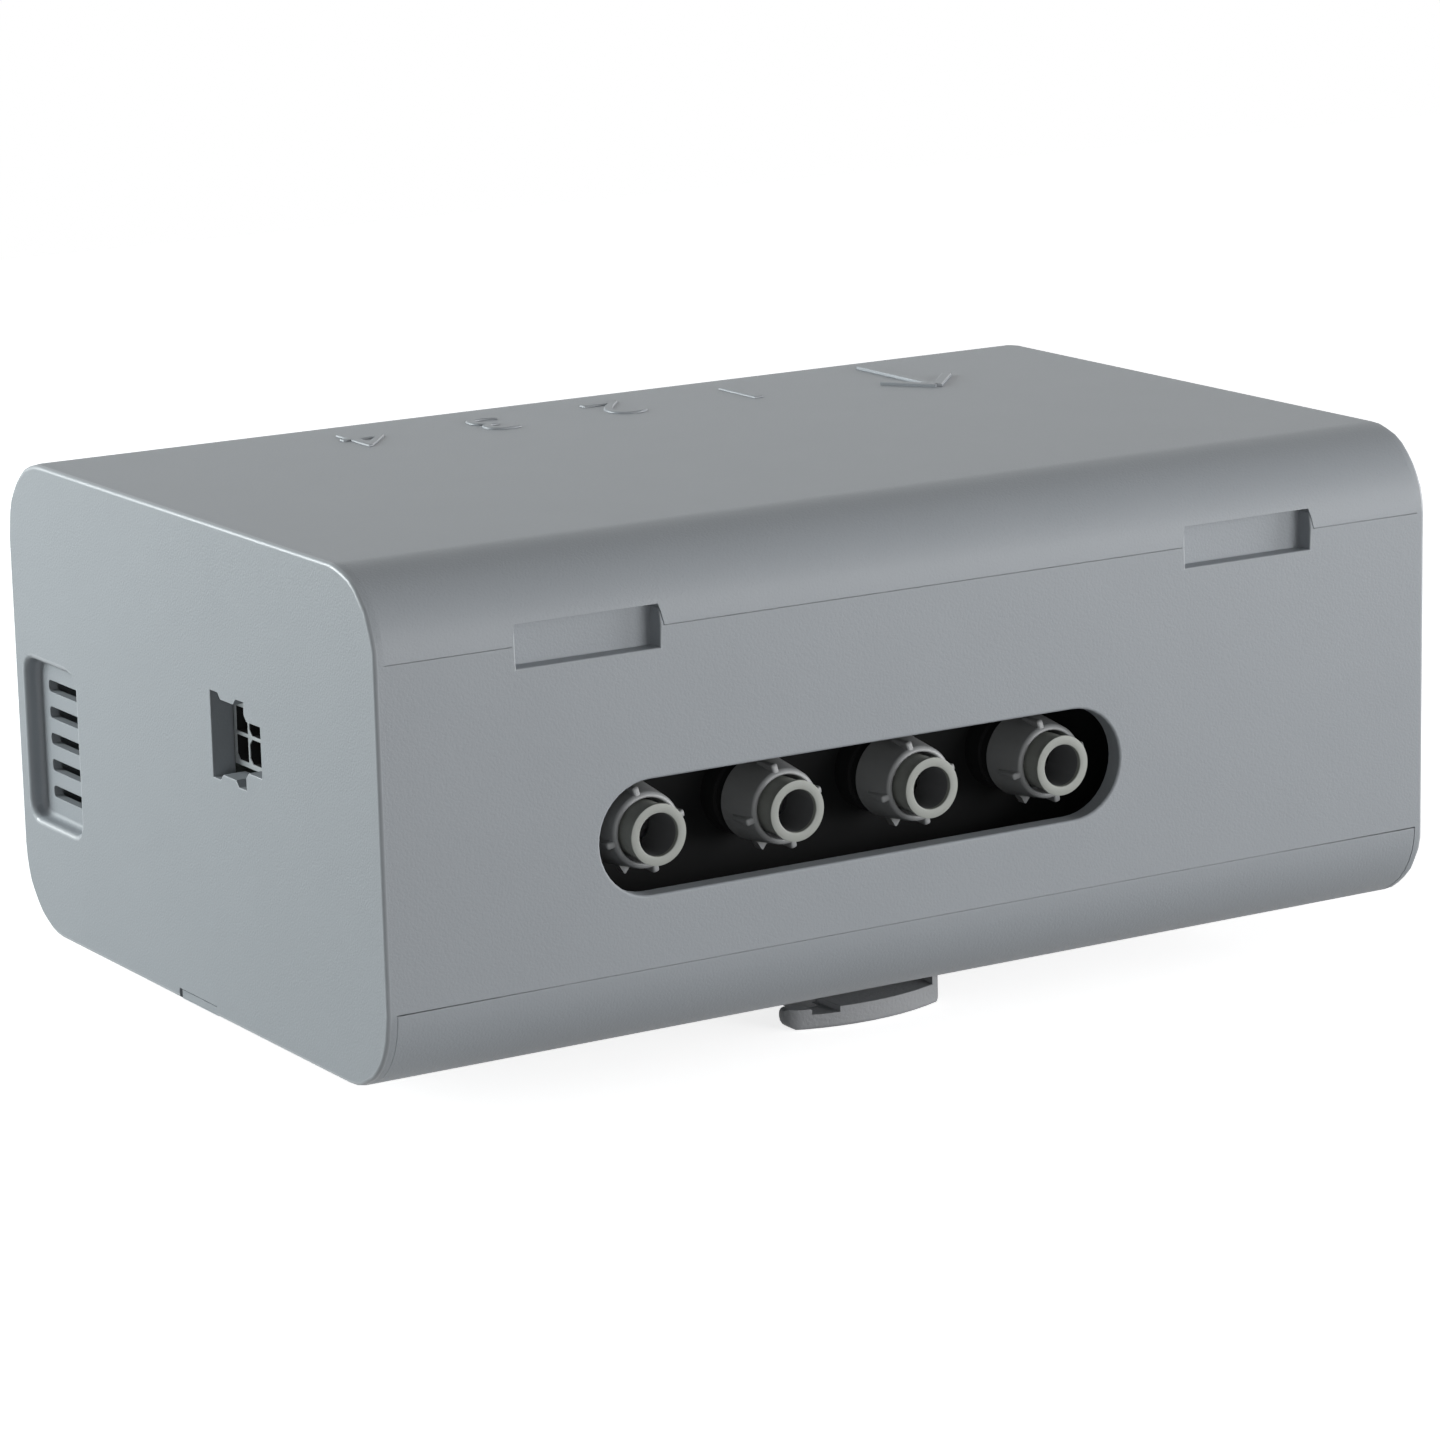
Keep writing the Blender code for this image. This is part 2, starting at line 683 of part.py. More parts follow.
def make_housing_body():
    """Front and back walls between two full end walls that thin to a rim beside the covers."""
    outline = rounded_rectangle((0, (BOTTOM + TOP) / 2), DEPTH, HEIGHT, EDGE_RADIUS)
    body = prism("housing_body", outline, "X", LEFT, -LEFT)
    rounded(
        body, END_ROUNDING, 3, lambda middle, along: abs(middle.x) > INNER_X and abs(along.x) < 0.5
    )
    clear_y = DEPTH / 2 + BEYOND
    cut(
        body,
        box("cover_bay", (-RIM_X, -clear_y, UPPER_SEAM), (RIM_X, clear_y, TOP + BEYOND)),
        box("base_bay", (-RIM_X, -clear_y, BOTTOM - BEYOND), (RIM_X, clear_y, LOWER_SEAM)),
        box("inside", (-INNER_X, -INNER_Y, BOTTOM - BEYOND), (INNER_X, INNER_Y, TOP + BEYOND)),
    )
    fuse(body, plug_collar(), vent_pad(), *tongue_boxes("tongue", 0), *window_rims())
    cut(
        body,
        port_slot(),
        prism("plug_opening", plug_outline(), "X", LEFT - BEYOND, HEADER_FRONT + BEYOND),
        vent_pocket(),
        *vent_slots(),
        *window_cutters(False),
        *end_notches(),
    )
    return part("housing_body", body, HOUSING_GREY)


def shell_outline(seam, sign):
    """Section of a cover: flat, with two rounded edges that end at the seam."""
    far = DEPTH / 2 - EDGE_RADIUS
    inner = EDGE_RADIUS - SKIN
    outer_arcs = arc((far, 0), EDGE_RADIUS, 0, 90) + arc((-far, 0), EDGE_RADIUS, 90, 180)
    inner_arcs = arc((-far, 0), inner, 180, 90) + arc((far, 0), inner, 90, 0)
    return [(y, seam + sign * z) for y, z in outer_arcs + inner_arcs]


def make_top_cover():
    half = RIM_X - COVER_END_GAP
    seam = UPPER_SEAM + CLEARANCE / 2
    cover = prism("top_cover", shell_outline(UPPER_SEAM, 1), "X", -half, half)
    reach = DEPTH / 2 + BEYOND
    cut(cover, box("seam_gap", (LEFT, -reach, BOTTOM), (-LEFT, reach, seam)))
    cut(cover, *tongue_boxes("tongue_room", CLEARANCE))
    cut(cover, *window_cutters(True))
    return part("top_cover", cover, HOUSING_GREY)


def base_lips():
    """Lips behind the front and back walls, rooted in the middle of the rounded skin."""
    made = []
    half = INNER_X - BASE_LIP_END
    inset = WALL + CLEARANCE
    skin_middle = EDGE_RADIUS - SKIN / 2
    from_centre = EDGE_RADIUS - inset - BASE_LIP / 2
    root = LOWER_SEAM - math.sqrt(skin_middle**2 - from_centre**2)
    for low, high in on_each_face(inset, inset + BASE_LIP):
        made.append(box("base_lip", (-half, low, root), (half, high, LOWER_SEAM + BASE_LIP_RISE)))
    return made


def board_shoes():
    """Blocks on the floor that take the board's lower edge in a groove."""
    made = []
    half = BOARD_SHOE / 2
    x = (BOARD_LEFT + BOARD_RIGHT) / 2
    for y in (BOARD_FRONT + BOARD_SHOE, BOARD_BACK - BOARD_SHOE):
        made.append(
            box(
                "board_shoe",
                (x - half, y - half, FLOOR - MERGE),
                (x + half, y + half, FLOOR + BOARD_SHOE),
            )
        )
    return made


def board_groove():
    return box(
        "board_groove",
        (BOARD_LEFT - CLEARANCE, BOARD_FRONT, BOARD_LOW - CLEARANCE),
        (BOARD_RIGHT + CLEARANCE, BOARD_BACK, FLOOR + BOARD_SHOE + BEYOND),
    )


def pillars():
    half = PILLAR_SIDE / 2
    return [
        box(
            "pillar",
            (x - half, MANIFOLD_Y - half, FLOOR - MERGE),
            (x + half, MANIFOLD_Y + half, MANIFOLD_LOW - CLEARANCE),
        )
        for x in PILLAR_X
    ]


def saddles():
    half = MOTOR_RADIUS
    made = []
    for share in (0.25, 0.75):
        y = MOTOR_FRONT + MOTOR_LENGTH * share
        made.append(
            box(
                "saddle",
                (PUMP_X - half, y - SADDLE_THICKNESS / 2, FLOOR - MERGE),
                (PUMP_X + half, y + SADDLE_THICKNESS / 2, FLOOR + SADDLE_RISE),
            )
        )
    return made


def clip_bosses():
    length = SCREW_GRIP + SKIN
    return [
        cylinder("clip_boss", (0, y, FLOOR - MERGE), "Z", 2 * SCREW_RADIUS, length)
        for y in CLIP_SCREW_Y
    ]


def end_tabs():
    made = []
    half = NOTCH_WIDTH / 2 - CLEARANCE
    for side in (-1, 1):
        inner = side * (RIM_X - BASE_END_GAP - MERGE)
        outer = side * (LENGTH / 2 - CLEARANCE)
        made.append(
            box(
                "end_tab",
                (min(inner, outer), -half, BOTTOM),
                (max(inner, outer), half, BOTTOM + NOTCH_HEIGHT - CLEARANCE),
            )
        )
    return made


def make_base_plate():
    half = RIM_X - BASE_END_GAP
    seam = LOWER_SEAM - CLEARANCE / 2
    base = prism("base_plate", shell_outline(LOWER_SEAM, -1), "X", -half, half)
    reach = DEPTH / 2 + BEYOND
    cut(base, box("seam_gap", (LEFT, -reach, seam), (-LEFT, reach, TOP)))
    fuse(base, *base_lips(), *board_shoes(), *pillars(), *saddles(), *clip_bosses(), *end_tabs())
    hole = SCREW_RADIUS + CLEARANCE
    drill = [
        cylinder(
            "pillar_hole", (x, MANIFOLD_Y, MANIFOLD_LOW - SCREW_GRIP), "Z", hole, SCREW_GRIP, FINE_STEPS
        )
        for x in PILLAR_X
    ]
    drill += [
        cylinder("clip_hole", (0, y, BOTTOM - BEYOND), "Z", hole, SCREW_GRIP + BEYOND, FINE_STEPS)
        for y in CLIP_SCREW_Y
    ]
    motor_room = cylinder(
        "motor_room", (PUMP_X, MOTOR_FRONT, MOTOR_Z), "Y", MOTOR_RADIUS + CLEARANCE, MOTOR_LENGTH
    )
    cut(base, board_groove(), motor_room, *drill)
    return part("base_plate", base, HOUSING_GREY)


# Push-in ports
def fitting_profile():
    return [
        (SLEEVE_RADIUS, RIM_DEPTH),
        (FITTING_RIM_RADIUS - FITTING_RIM_CHAMFER, RIM_DEPTH),
        (FITTING_RIM_RADIUS, RIM_DEPTH + FITTING_RIM_CHAMFER),
        (FITTING_CONE_RADIUS, CONE_END),
        (FITTING_GROOVE_RADIUS, CONE_END),
        (FITTING_GROOVE_RADIUS, SHOULDER_DEPTH),
        (SHOULDER_RADIUS, SHOULDER_DEPTH),
        (SHOULDER_RADIUS, STEM_DEPTH),
        (STEM_RADIUS, STEM_DEPTH),
        (STEM_RADIUS, STEM_DEPTH + STEM_LENGTH),
        (FLOW_RADIUS, STEM_DEPTH + STEM_LENGTH),
        (FLOW_RADIUS, TUBE_STOP_DEPTH),
        (BORE_RADIUS, TUBE_STOP_DEPTH),
        (BORE_RADIUS, SEAL_SEAT_DEPTH),
        (SEAL_BORE_RADIUS, SEAL_SEAT_DEPTH),
        (SEAL_BORE_RADIUS, COLLET_END),
        (SLEEVE_RADIUS, COLLET_END),
    ]


def fitting_ribs():
    """Short teeth behind the rim: steep in front, and running out along the cone."""
    made = []
    root = FITTING_RIM_RADIUS - FITTING_WALL / 3
    crest = FITTING_RIM_RADIUS + RIB_HEIGHT
    start = RIM_DEPTH + FITTING_RIM_CHAMFER
    tooth = [(start, root), (start + RIB_LENGTH, root), (start + RIB_CREST, crest)]
    for index in range(RIB_COUNT):
        rib = prism("rib", tooth, "X", -RIB_WIDTH / 2, RIB_WIDTH / 2)
        rib.data.transform(Matrix.Rotation(RIB_TURN + index * 2 * math.pi / RIB_COUNT, 4, "Y"))
        made.append(rib)
    return made


def fitting_keel():
    """A small pointed stop under the cone."""
    start = RIM_DEPTH + KEEL_DEPTH
    root = FITTING_CONE_RADIUS - FITTING_WALL
    tip = FITTING_CONE_RADIUS + KEEL_HEIGHT
    outline = [(-KEEL_WIDTH / 2, -root), (KEEL_WIDTH / 2, -root), (0, -tip)]
    return prism("keel", outline, "Y", start, start + KEEL_LENGTH)


def collet_profile():
    flange_end = COLLET_FACE + COLLET_FLANGE
    return [
        (BORE_RADIUS, COLLET_FACE),
        (COLLET_FLANGE_RADIUS - FITTING_RIM_CHAMFER, COLLET_FACE),
        (COLLET_FLANGE_RADIUS, COLLET_FACE + FITTING_RIM_CHAMFER),
        (COLLET_FLANGE_RADIUS, flange_end),
        (COLLET_NECK_RADIUS, flange_end),
        (COLLET_NECK_RADIUS, COLLET_END),
        (BORE_RADIUS, COLLET_END),
    ]


def grab_ring_profile():
    outer = SEAL_BORE_RADIUS - CLEARANCE
    end = GRAB_RING_DEPTH + GRAB_RING_THICKNESS
    return [(BORE_RADIUS, GRAB_RING_DEPTH), (outer, GRAB_RING_DEPTH), (outer, end), (BORE_RADIUS, end)]


def seal_profile():
    middle = BORE_RADIUS + SEAL_RADIUS + CLEARANCE
    ring = arc((middle, SEAL_DEPTH), SEAL_RADIUS, 0, 360, SEAL_STEPS)
    return ring[:-1]


def make_ports():
    fitting = fuse(turned("fitting", fitting_profile(), "Y"), fitting_keel(), *fitting_ribs())
    pieces = (
        ("fitting", fitting, FITTING_GREY),
        ("collet", turned("collet", collet_profile(), "Y"), COLLET_GREY),
        ("grab_ring", turned("grab_ring", grab_ring_profile(), "Y"), STEEL),
        ("seal", turned("seal", seal_profile(), "Y", steps=FINE_STEPS), RUBBER_BLACK),
    )
    for piece, shape, material in pieces:
        first = part(f"port_1_{piece}", shape, material, (PORT_X[0], FRONT, PORT_Z))
        for index in range(1, PORT_COUNT):
            copy_of(f"port_{index + 1}_{piece}", first.data, (PORT_X[index], FRONT, PORT_Z))


# Manifold, valves and pump
def make_manifold():
    block = box(
        "manifold_block",
        (MANIFOLD_LEFT, MANIFOLD_FRONT, MANIFOLD_LOW),
        (MANIFOLD_RIGHT, MANIFOLD_BACK, MANIFOLD_HIGH),
    )
    nipple = cylinder(
        "nipple",
        (MANIFOLD_RIGHT - MERGE, MANIFOLD_Y, PORT_Z),
        "X",
        NIPPLE_RADIUS,
        NIPPLE_LENGTH + MERGE,
        FINE_STEPS,
    )
    fuse(block, nipple)
    for x in PORT_X:
        socket = cylinder(
            "socket",
            (x, MANIFOLD_FRONT - BEYOND, PORT_Z),
            "Y",
            STEM_RADIUS + CLEARANCE,
            STEM_LENGTH + BEYOND,
        )
        cut(block, socket)
    for x in PILLAR_X:
        hole = cylinder(
            "screw_hole",
            (x, MANIFOLD_Y, MANIFOLD_LOW - BEYOND),
            "Z",
            SCREW_RADIUS + CLEARANCE,
            MANIFOLD_HEIGHT + 2 * BEYOND,
            FINE_STEPS,
        )
        cut(block, hole)
    part("manifold_block", block, BLACK_NYLON)


def pan_screw_profile(shank):
    return [
        (0, -SCREW_HEAD),
        (SCREW_HEAD_RADIUS, -SCREW_HEAD),
        (SCREW_HEAD_RADIUS, 0),
        (SCREW_RADIUS, 0),
        (SCREW_RADIUS, shank),
        (0, shank),
    ]


def sunk_screw_profile(shank):
    return [
        (0, 0),
        (SCREW_HEAD_RADIUS, 0),
        (SCREW_RADIUS, SCREW_HEAD_RADIUS - SCREW_RADIUS),
        (SCREW_RADIUS, shank),
        (0, shank),
    ]


def make_screws():
    long_shank = MANIFOLD_HEIGHT + SCREW_GRIP - 2 * CLEARANCE
    shape = turned("screw", pan_screw_profile(long_shank), "-Z", closed=False, steps=FINE_STEPS)
    head = MANIFOLD_HIGH + CLEARANCE
    first = part("manifold_screw_1", shape, STEEL, (PILLAR_X[0], MANIFOLD_Y, head))
    copy_of("manifold_screw_2", first.data, (PILLAR_X[1], MANIFOLD_Y, head))
    short_shank = PLATE_THICKNESS + SCREW_GRIP - 2 * CLEARANCE
    shape = turned("screw", sunk_screw_profile(short_shank), "Z", closed=False, steps=FINE_STEPS)
    seat = PLATE_LOW + CLEARANCE
    first = part("clip_screw_1", shape, STEEL, (0, CLIP_SCREW_Y[0], seat))
    copy_of("clip_screw_2", first.data, (0, CLIP_SCREW_Y[1], seat))


def make_valves():
    """Solenoids on the back of the manifold, each with a plunger that draws back into its coil."""
    bore = PLUNGER_RADIUS + RUNNING_GAP
    depth = PLUNGER_LENGTH + PLUNGER_TRAVEL + RUNNING_GAP
    half = COIL_WIDTH / 2
    tall = COIL_HEIGHT / 2
    coil = box("coil", (-half, 0, -tall), (half, COIL_LENGTH, tall))
    rounded(coil, COIL_ROUNDING, 2, lambda middle, along: True)
    cut(coil, cylinder("coil_bore", (0, -BEYOND, 0), "Y", bore, depth + BEYOND))
    nose = PLUNGER_RADIUS / 2
    plunger_profile = [
        (0, 0),
        (nose, 0),
        (PLUNGER_RADIUS, nose),
        (PLUNGER_RADIUS, PLUNGER_LENGTH),
        (0, PLUNGER_LENGTH),
    ]
    plunger = turned("plunger", plunger_profile, "Y", closed=False, steps=FINE_STEPS)
    seat = MANIFOLD_BACK + CLEARANCE
    for piece, shape, material in (("coil", coil, COIL_BLACK), ("plunger", plunger, STEEL)):
        first = part(f"valve_1_{piece}", shape, material, (PORT_X[0], seat, PORT_Z))
        for index in range(1, PORT_COUNT):
            copy_of(f"valve_{index + 1}_{piece}", first.data, (PORT_X[index], seat, PORT_Z))


def hose_curve(name, radius, straight):
    """From the pump's nipple forwards, round a quarter turn and along to the manifold's nipple."""
    curve = bpy.data.curves.new(name, "CURVE")
    curve.dimensions = "3D"
    curve.bevel_depth = radius
    curve.bevel_resolution = 2
    curve.use_fill_caps = True
    bend_x = PUMP_X - HOSE_BEND
    bend_y = MANIFOLD_Y + HOSE_BEND
    route = [(PUMP_X, bend_y + straight)]
    route += arc((bend_x, bend_y), HOSE_BEND, 0, -90)
    route.append((MANIFOLD_RIGHT + NIPPLE_LENGTH - straight, MANIFOLD_Y))
    spline = curve.splines.new("POLY")
    spline.points.add(len(route) - 1)
    for point, (x, y) in zip(spline.points, route):
        point.co = (x, y, PORT_Z, 1)
    made = bpy.data.objects.new(name, curve)
    CUTTERS.objects.link(made)
    return welded(made)


def make_pump():
    head_low = FLOOR + CLEARANCE
    half = PUMP_HEAD_WIDTH / 2
    head = box(
        "pump_head",
        (PUMP_X - half, PUMP_FRONT, head_low),
        (PUMP_X + half, PUMP_FRONT + PUMP_HEAD_DEPTH, PORT_Z + PUMP_HEAD_ABOVE),
    )
    rounded(head, COIL_ROUNDING, 2, lambda middle, along: abs(along.y) > 0.5)
    outlet = cylinder(
        "outlet",
        (PUMP_X, PUMP_FRONT - NIPPLE_LENGTH, PORT_Z),
        "Y",
        NIPPLE_RADIUS,
        NIPPLE_LENGTH + MERGE,
        FINE_STEPS,
    )
    part("pump_head", fuse(head, outlet), BLACK_NYLON)
    boss = MOTOR_RADIUS / 3
    motor_profile = [
        (0, 0),
        (MOTOR_RADIUS, 0),
        (MOTOR_RADIUS, MOTOR_LENGTH - boss / 2),
        (MOTOR_RADIUS - boss / 2, MOTOR_LENGTH),
        (boss, MOTOR_LENGTH),
        (boss, MOTOR_LENGTH + boss / 2),
        (0, MOTOR_LENGTH + boss / 2),
    ]
    motor = turned("pump_motor", motor_profile, "Y", closed=False)
    part("pump_motor", motor, STEEL, (PUMP_X, MOTOR_FRONT, MOTOR_Z))
    sleeve = NIPPLE_LENGTH - CLEARANCE
    hose = hose_curve("pump_hose", HOSE_RADIUS, sleeve)
    cut(hose, hose_curve("hose_bore", HOSE_BORE, sleeve + BEYOND))
    part("pump_hose", hose, HOSE_BLACK)


# Board and header
def pocket_outline(y, z, trimmed):
    """One pocket of the header, with the corners that key it cut off."""
    half = HEADER_POCKET / 2
    outline = []
    for across, up in ((-1, -1), (-1, 1), (1, 1), (1, -1)):
        corner_y = y + across * half
        corner_z = z + up * half
        beside = (corner_y - across * POCKET_CHAMFER, corner_z)
        under = (corner_y, corner_z - up * POCKET_CHAMFER)
        if (across, up) not in trimmed:
            outline.append((corner_y, corner_z))
        elif across == up:
            outline += [beside, under]
        else:
            outline += [under, beside]
    return outline


def latch_ramp():
    """Wedge on the header's side that the plug's lever snaps over."""
    side = HEADER_Y - HEADER_SIDE / 2
    start = HEADER_FRONT + RAMP_SETBACK
    end = start + RAMP_LENGTH
    outline = [(start, side + MERGE), (start, side), (end, side - RAMP_HEIGHT), (end, side + MERGE)]
    return prism("latch_ramp", outline, "Z", HEADER_Z - RAMP_WIDTH / 2, HEADER_Z + RAMP_WIDTH / 2)


def make_header():
    half = HEADER_SIDE / 2
    header = box(
        "power_header",
        (HEADER_FRONT, HEADER_Y - half, HEADER_Z - half),
        (HEADER_BACK, HEADER_Y + half, HEADER_Z + half),
    )
    fuse(header, latch_ramp())
    pocket_end = HEADER_BACK - HEADER_FLOOR
    side = PIN_SIDE / 2
    room = side + CLEARANCE
    for index, (y, z) in enumerate(PIN_PLACES):
        outline = pocket_outline(y, z, POCKET_TRIMS[index])
        pocket = prism("pocket", outline, "X", HEADER_FRONT - BEYOND, pocket_end)
        through = box(
            "pin_hole",
            (pocket_end - MERGE, y - room, z - room),
            (HEADER_BACK + BEYOND, y + room, z + room),
        )
        cut(header, pocket, through)
        pin = box(
            "pin",
            (pocket_end - PIN_REACH, y - side, z - side),
            (BOARD_RIGHT + PIN_TAIL, y + side, z + side),
        )
        part(f"header_pin_{index + 1}", pin, BRASS)
    part("power_header", header, HEADER_GREY)


def make_board():
    board = box(
        "circuit_board",
        (BOARD_LEFT, BOARD_FRONT, BOARD_LOW),
        (BOARD_RIGHT, BOARD_BACK, BOARD_LOW + BOARD_HEIGHT),
    )
    room = PIN_SIDE / 2 + CLEARANCE
    for y, z in PIN_PLACES:
        hole = box(
            "pad_hole",
            (BOARD_LEFT - BEYOND, y - room, z - room),
            (BOARD_RIGHT + BEYOND, y + room, z + room),
        )
        cut(board, hole)
    part("circuit_board", board, BOARD_GREEN)


# Rail clip
def make_clip_plate():
    """Fixed half of the clip: a plate with a keyed slot for the latch and a hook for the rail."""
    half = PLATE_WIDTH / 2
    hook_back = RAIL_EDGE + CLEARANCE + HOOK_LENGTH
    plate = box(
        "rail_clip_plate",
        (-half, KEY_SLOT_FRONT - PLATE_RIM, PLATE_LOW),
        (half, hook_back, PLATE_TOP),
    )
    hook = box("hook", (-half, RAIL_EDGE + CLEARANCE, 0), (half, hook_back, PLATE_TOP))
    bite = box("bite", (-half, RAIL_EDGE - HOOK_BITE, 0), (half, hook_back, LATCH_TOP))
    fuse(plate, hook, bite)
    stem = KEY_STEM_WIDTH / 2 + RUNNING_GAP
    head = KEY_HEAD_WIDTH / 2 + RUNNING_GAP
    cut(
        plate,
        box(
            "stem_slot",
            (-stem, KEY_SLOT_FRONT, PLATE_LOW - BEYOND),
            (stem, KEY_SLOT_BACK, PLATE_TOP),
        ),
        box(
            "head_slot",
            (-head, KEY_SLOT_FRONT, PLATE_LOW + KEY_LEDGE),
            (head, KEY_SLOT_BACK, PLATE_TOP + BEYOND),
        ),
    )
    for y in CLIP_SCREW_Y:
        hole = turned("plate_hole", sunk_hole_profile(), "Z", closed=False, steps=FINE_STEPS)
        hole.location = (0, y, PLATE_LOW)
        cut(plate, hole)
    part("rail_clip_plate", plate, CLIP_GREY)


def sunk_hole_profile():
    """Room for a countersunk screw, from below the plate to above it."""
    wide = SCREW_HEAD_RADIUS + CLEARANCE
    narrow = SCREW_RADIUS + CLEARANCE
    top = PLATE_THICKNESS + BEYOND
    return [
        (0, -BEYOND),
        (wide, -BEYOND),
        (wide, CLEARANCE),
        (narrow, CLEARANCE + wide - narrow),
        (narrow, top),
        (0, top),
    ]


def latch_outline():
    """Plan of the latch: a short head with a bowed pull edge, then the slide with its straight hook edge."""
    half = LATCH_WIDTH / 2
    slide = SLIDE_WIDTH / 2
    bow = (half**2 + LATCH_BULGE**2) / (2 * LATCH_BULGE)
    spread = math.degrees(math.asin(half / bow))
    front = arc((0, LATCH_NOSE + bow), bow, 270 - spread, 270 + spread)
    beside = half - POST_WIDTH - MERGE
    web = HEAD_BACK + HEAD_WEB
    right = [(half, HEAD_BACK), (beside, HEAD_BACK), (beside, web), (slide, web), (slide, LATCH_TIP)]
    left = [(-slide, LATCH_TIP), (-slide, HEAD_BACK), (-half, HEAD_BACK)]
    return front + right + left


def head_corner(name, side, up, radius):
    """What leaves a corner of the latch's head round, seen from the front."""
    edge = side * LATCH_WIDTH / 2
    middle = edge - side * radius
    level = LATCH_TOP if up > 0 else 0
    start = 90 * up
    curve = arc((middle, level - up * radius), radius, start, start - 90 * side * up, CORNER_STEPS)
    outside = [
        (edge + side * BEYOND, level - up * radius),
        (edge + side * BEYOND, level + up * BEYOND),
        (middle, level + up * BEYOND),
    ]
    return prism(name, curve + outside, "Y", LATCH_NOSE - BEYOND, HEAD_BACK + BEYOND)


def make_latch():
    """Sliding half of the clip: it hangs on a key in the plate's slot."""
    half = LATCH_WIDTH / 2
    latch = prism("rail_clip_latch", latch_outline(), "Z", 0, PLATE_TOP)
    rounded(
        latch,
        LATCH_ROUNDING,
        CORNER_STEPS,
        lambda middle, along: abs(along.z) > 0.5 and middle.x < 0 and middle.y < HEAD_BACK - MERGE,
    )
    beside_post = box(
        "beside_post",
        (-half - BEYOND, LATCH_NOSE - BEYOND, LATCH_TOP),
        (half - POST_WIDTH, LATCH_TIP + BEYOND, PLATE_TOP + BEYOND),
    )
    head_low = PLATE_LOW + KEY_LEDGE + RUNNING_GAP
    stem = box(
        "key_stem",
        (-KEY_STEM_WIDTH / 2, KEY_FRONT, LATCH_TOP - MERGE),
        (KEY_STEM_WIDTH / 2, KEY_BACK, PLATE_TOP),
    )
    head = box(
        "key_head",
        (-KEY_HEAD_WIDTH / 2, KEY_FRONT, head_low),
        (KEY_HEAD_WIDTH / 2, KEY_BACK, PLATE_TOP),
    )
    blade_left = -half + BLADE_SLOT_FROM_END
    blade_slot = box(
        "blade_slot",
        (blade_left, LATCH_NOSE - BEYOND, LATCH_TOP - BLADE_SLOT_DEPTH),
        (blade_left + BLADE_SLOT_WIDTH, HEAD_BACK + BEYOND, LATCH_TOP + MERGE),
    )
    cut(
        latch,
        beside_post,
        blade_slot,
        head_corner("low_left", -1, -1, LATCH_LOW_LEFT),
        head_corner("low_right", 1, -1, LATCH_LOW_RIGHT),
        head_corner("high_left", -1, 1, LATCH_HIGH_LEFT),
    )
    fuse(latch, stem, head)
    part("rail_clip_latch", latch, CLIP_GREY)


def main():
    make_housing_body()
    make_top_cover()
    make_base_plate()
    make_ports()
    make_manifold()
    make_screws()
    make_valves()
    make_pump()
    make_header()
    make_board()
    make_clip_plate()
    make_latch()


main()
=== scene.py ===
# %% [markdown]
# # An air valve unit for a mounting rail
#
# The unit is a grey moulded box about 180 mm long. It holds a small pump and four valves, feeds
# four push-in tube ports in its front, takes a plug in its left end and clips to a rail with the
# latch below it. The measured solids come from one shared frame, and each step here gives a piece
# the shape of its edges and the finish that the eye sees. The first cell loads the frame and keeps
# the size that it came with.

# %% Load the measured frame
import json
import math

import bmesh
import bpy
from mathutils import Matrix, Vector

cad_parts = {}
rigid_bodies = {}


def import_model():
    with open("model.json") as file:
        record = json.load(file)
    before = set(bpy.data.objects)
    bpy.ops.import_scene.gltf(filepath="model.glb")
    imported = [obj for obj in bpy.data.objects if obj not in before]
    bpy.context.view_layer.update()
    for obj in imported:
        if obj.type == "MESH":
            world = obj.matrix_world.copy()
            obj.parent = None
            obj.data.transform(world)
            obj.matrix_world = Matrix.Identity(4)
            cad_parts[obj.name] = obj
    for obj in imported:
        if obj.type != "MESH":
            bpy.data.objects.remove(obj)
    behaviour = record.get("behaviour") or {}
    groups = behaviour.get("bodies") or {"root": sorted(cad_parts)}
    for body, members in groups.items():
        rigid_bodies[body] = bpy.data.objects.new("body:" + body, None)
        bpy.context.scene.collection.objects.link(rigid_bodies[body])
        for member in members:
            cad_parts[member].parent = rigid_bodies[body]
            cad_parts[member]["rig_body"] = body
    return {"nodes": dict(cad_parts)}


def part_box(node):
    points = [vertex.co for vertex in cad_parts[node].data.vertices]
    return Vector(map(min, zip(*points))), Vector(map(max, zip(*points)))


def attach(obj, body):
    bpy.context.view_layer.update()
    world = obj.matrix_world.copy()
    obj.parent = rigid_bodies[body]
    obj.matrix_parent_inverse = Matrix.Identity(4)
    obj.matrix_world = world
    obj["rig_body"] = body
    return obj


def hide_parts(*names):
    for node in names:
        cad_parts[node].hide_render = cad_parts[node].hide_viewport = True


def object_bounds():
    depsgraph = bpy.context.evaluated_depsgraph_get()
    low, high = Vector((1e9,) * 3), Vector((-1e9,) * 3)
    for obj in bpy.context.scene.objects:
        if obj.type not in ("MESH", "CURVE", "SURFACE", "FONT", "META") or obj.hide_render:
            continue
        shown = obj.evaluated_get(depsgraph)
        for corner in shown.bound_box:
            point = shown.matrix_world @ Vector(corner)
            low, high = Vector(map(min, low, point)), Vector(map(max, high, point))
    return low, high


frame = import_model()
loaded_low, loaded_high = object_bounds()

MM = 0.001
NODES = frame["nodes"]
loaded_size = [round(side / MM, 1) for side in loaded_high - loaded_low]
print("loaded", len(NODES), "solids,", loaded_size, "mm")

# %% [markdown]
# ## Places to work from
#
# A piece fits only if its place comes from its neighbours. The places could be typed in from a
# drawing, but then they'd go stale whenever a solid changes. Here they are read from the boxes
# round the solids, so the dressing follows the frame.

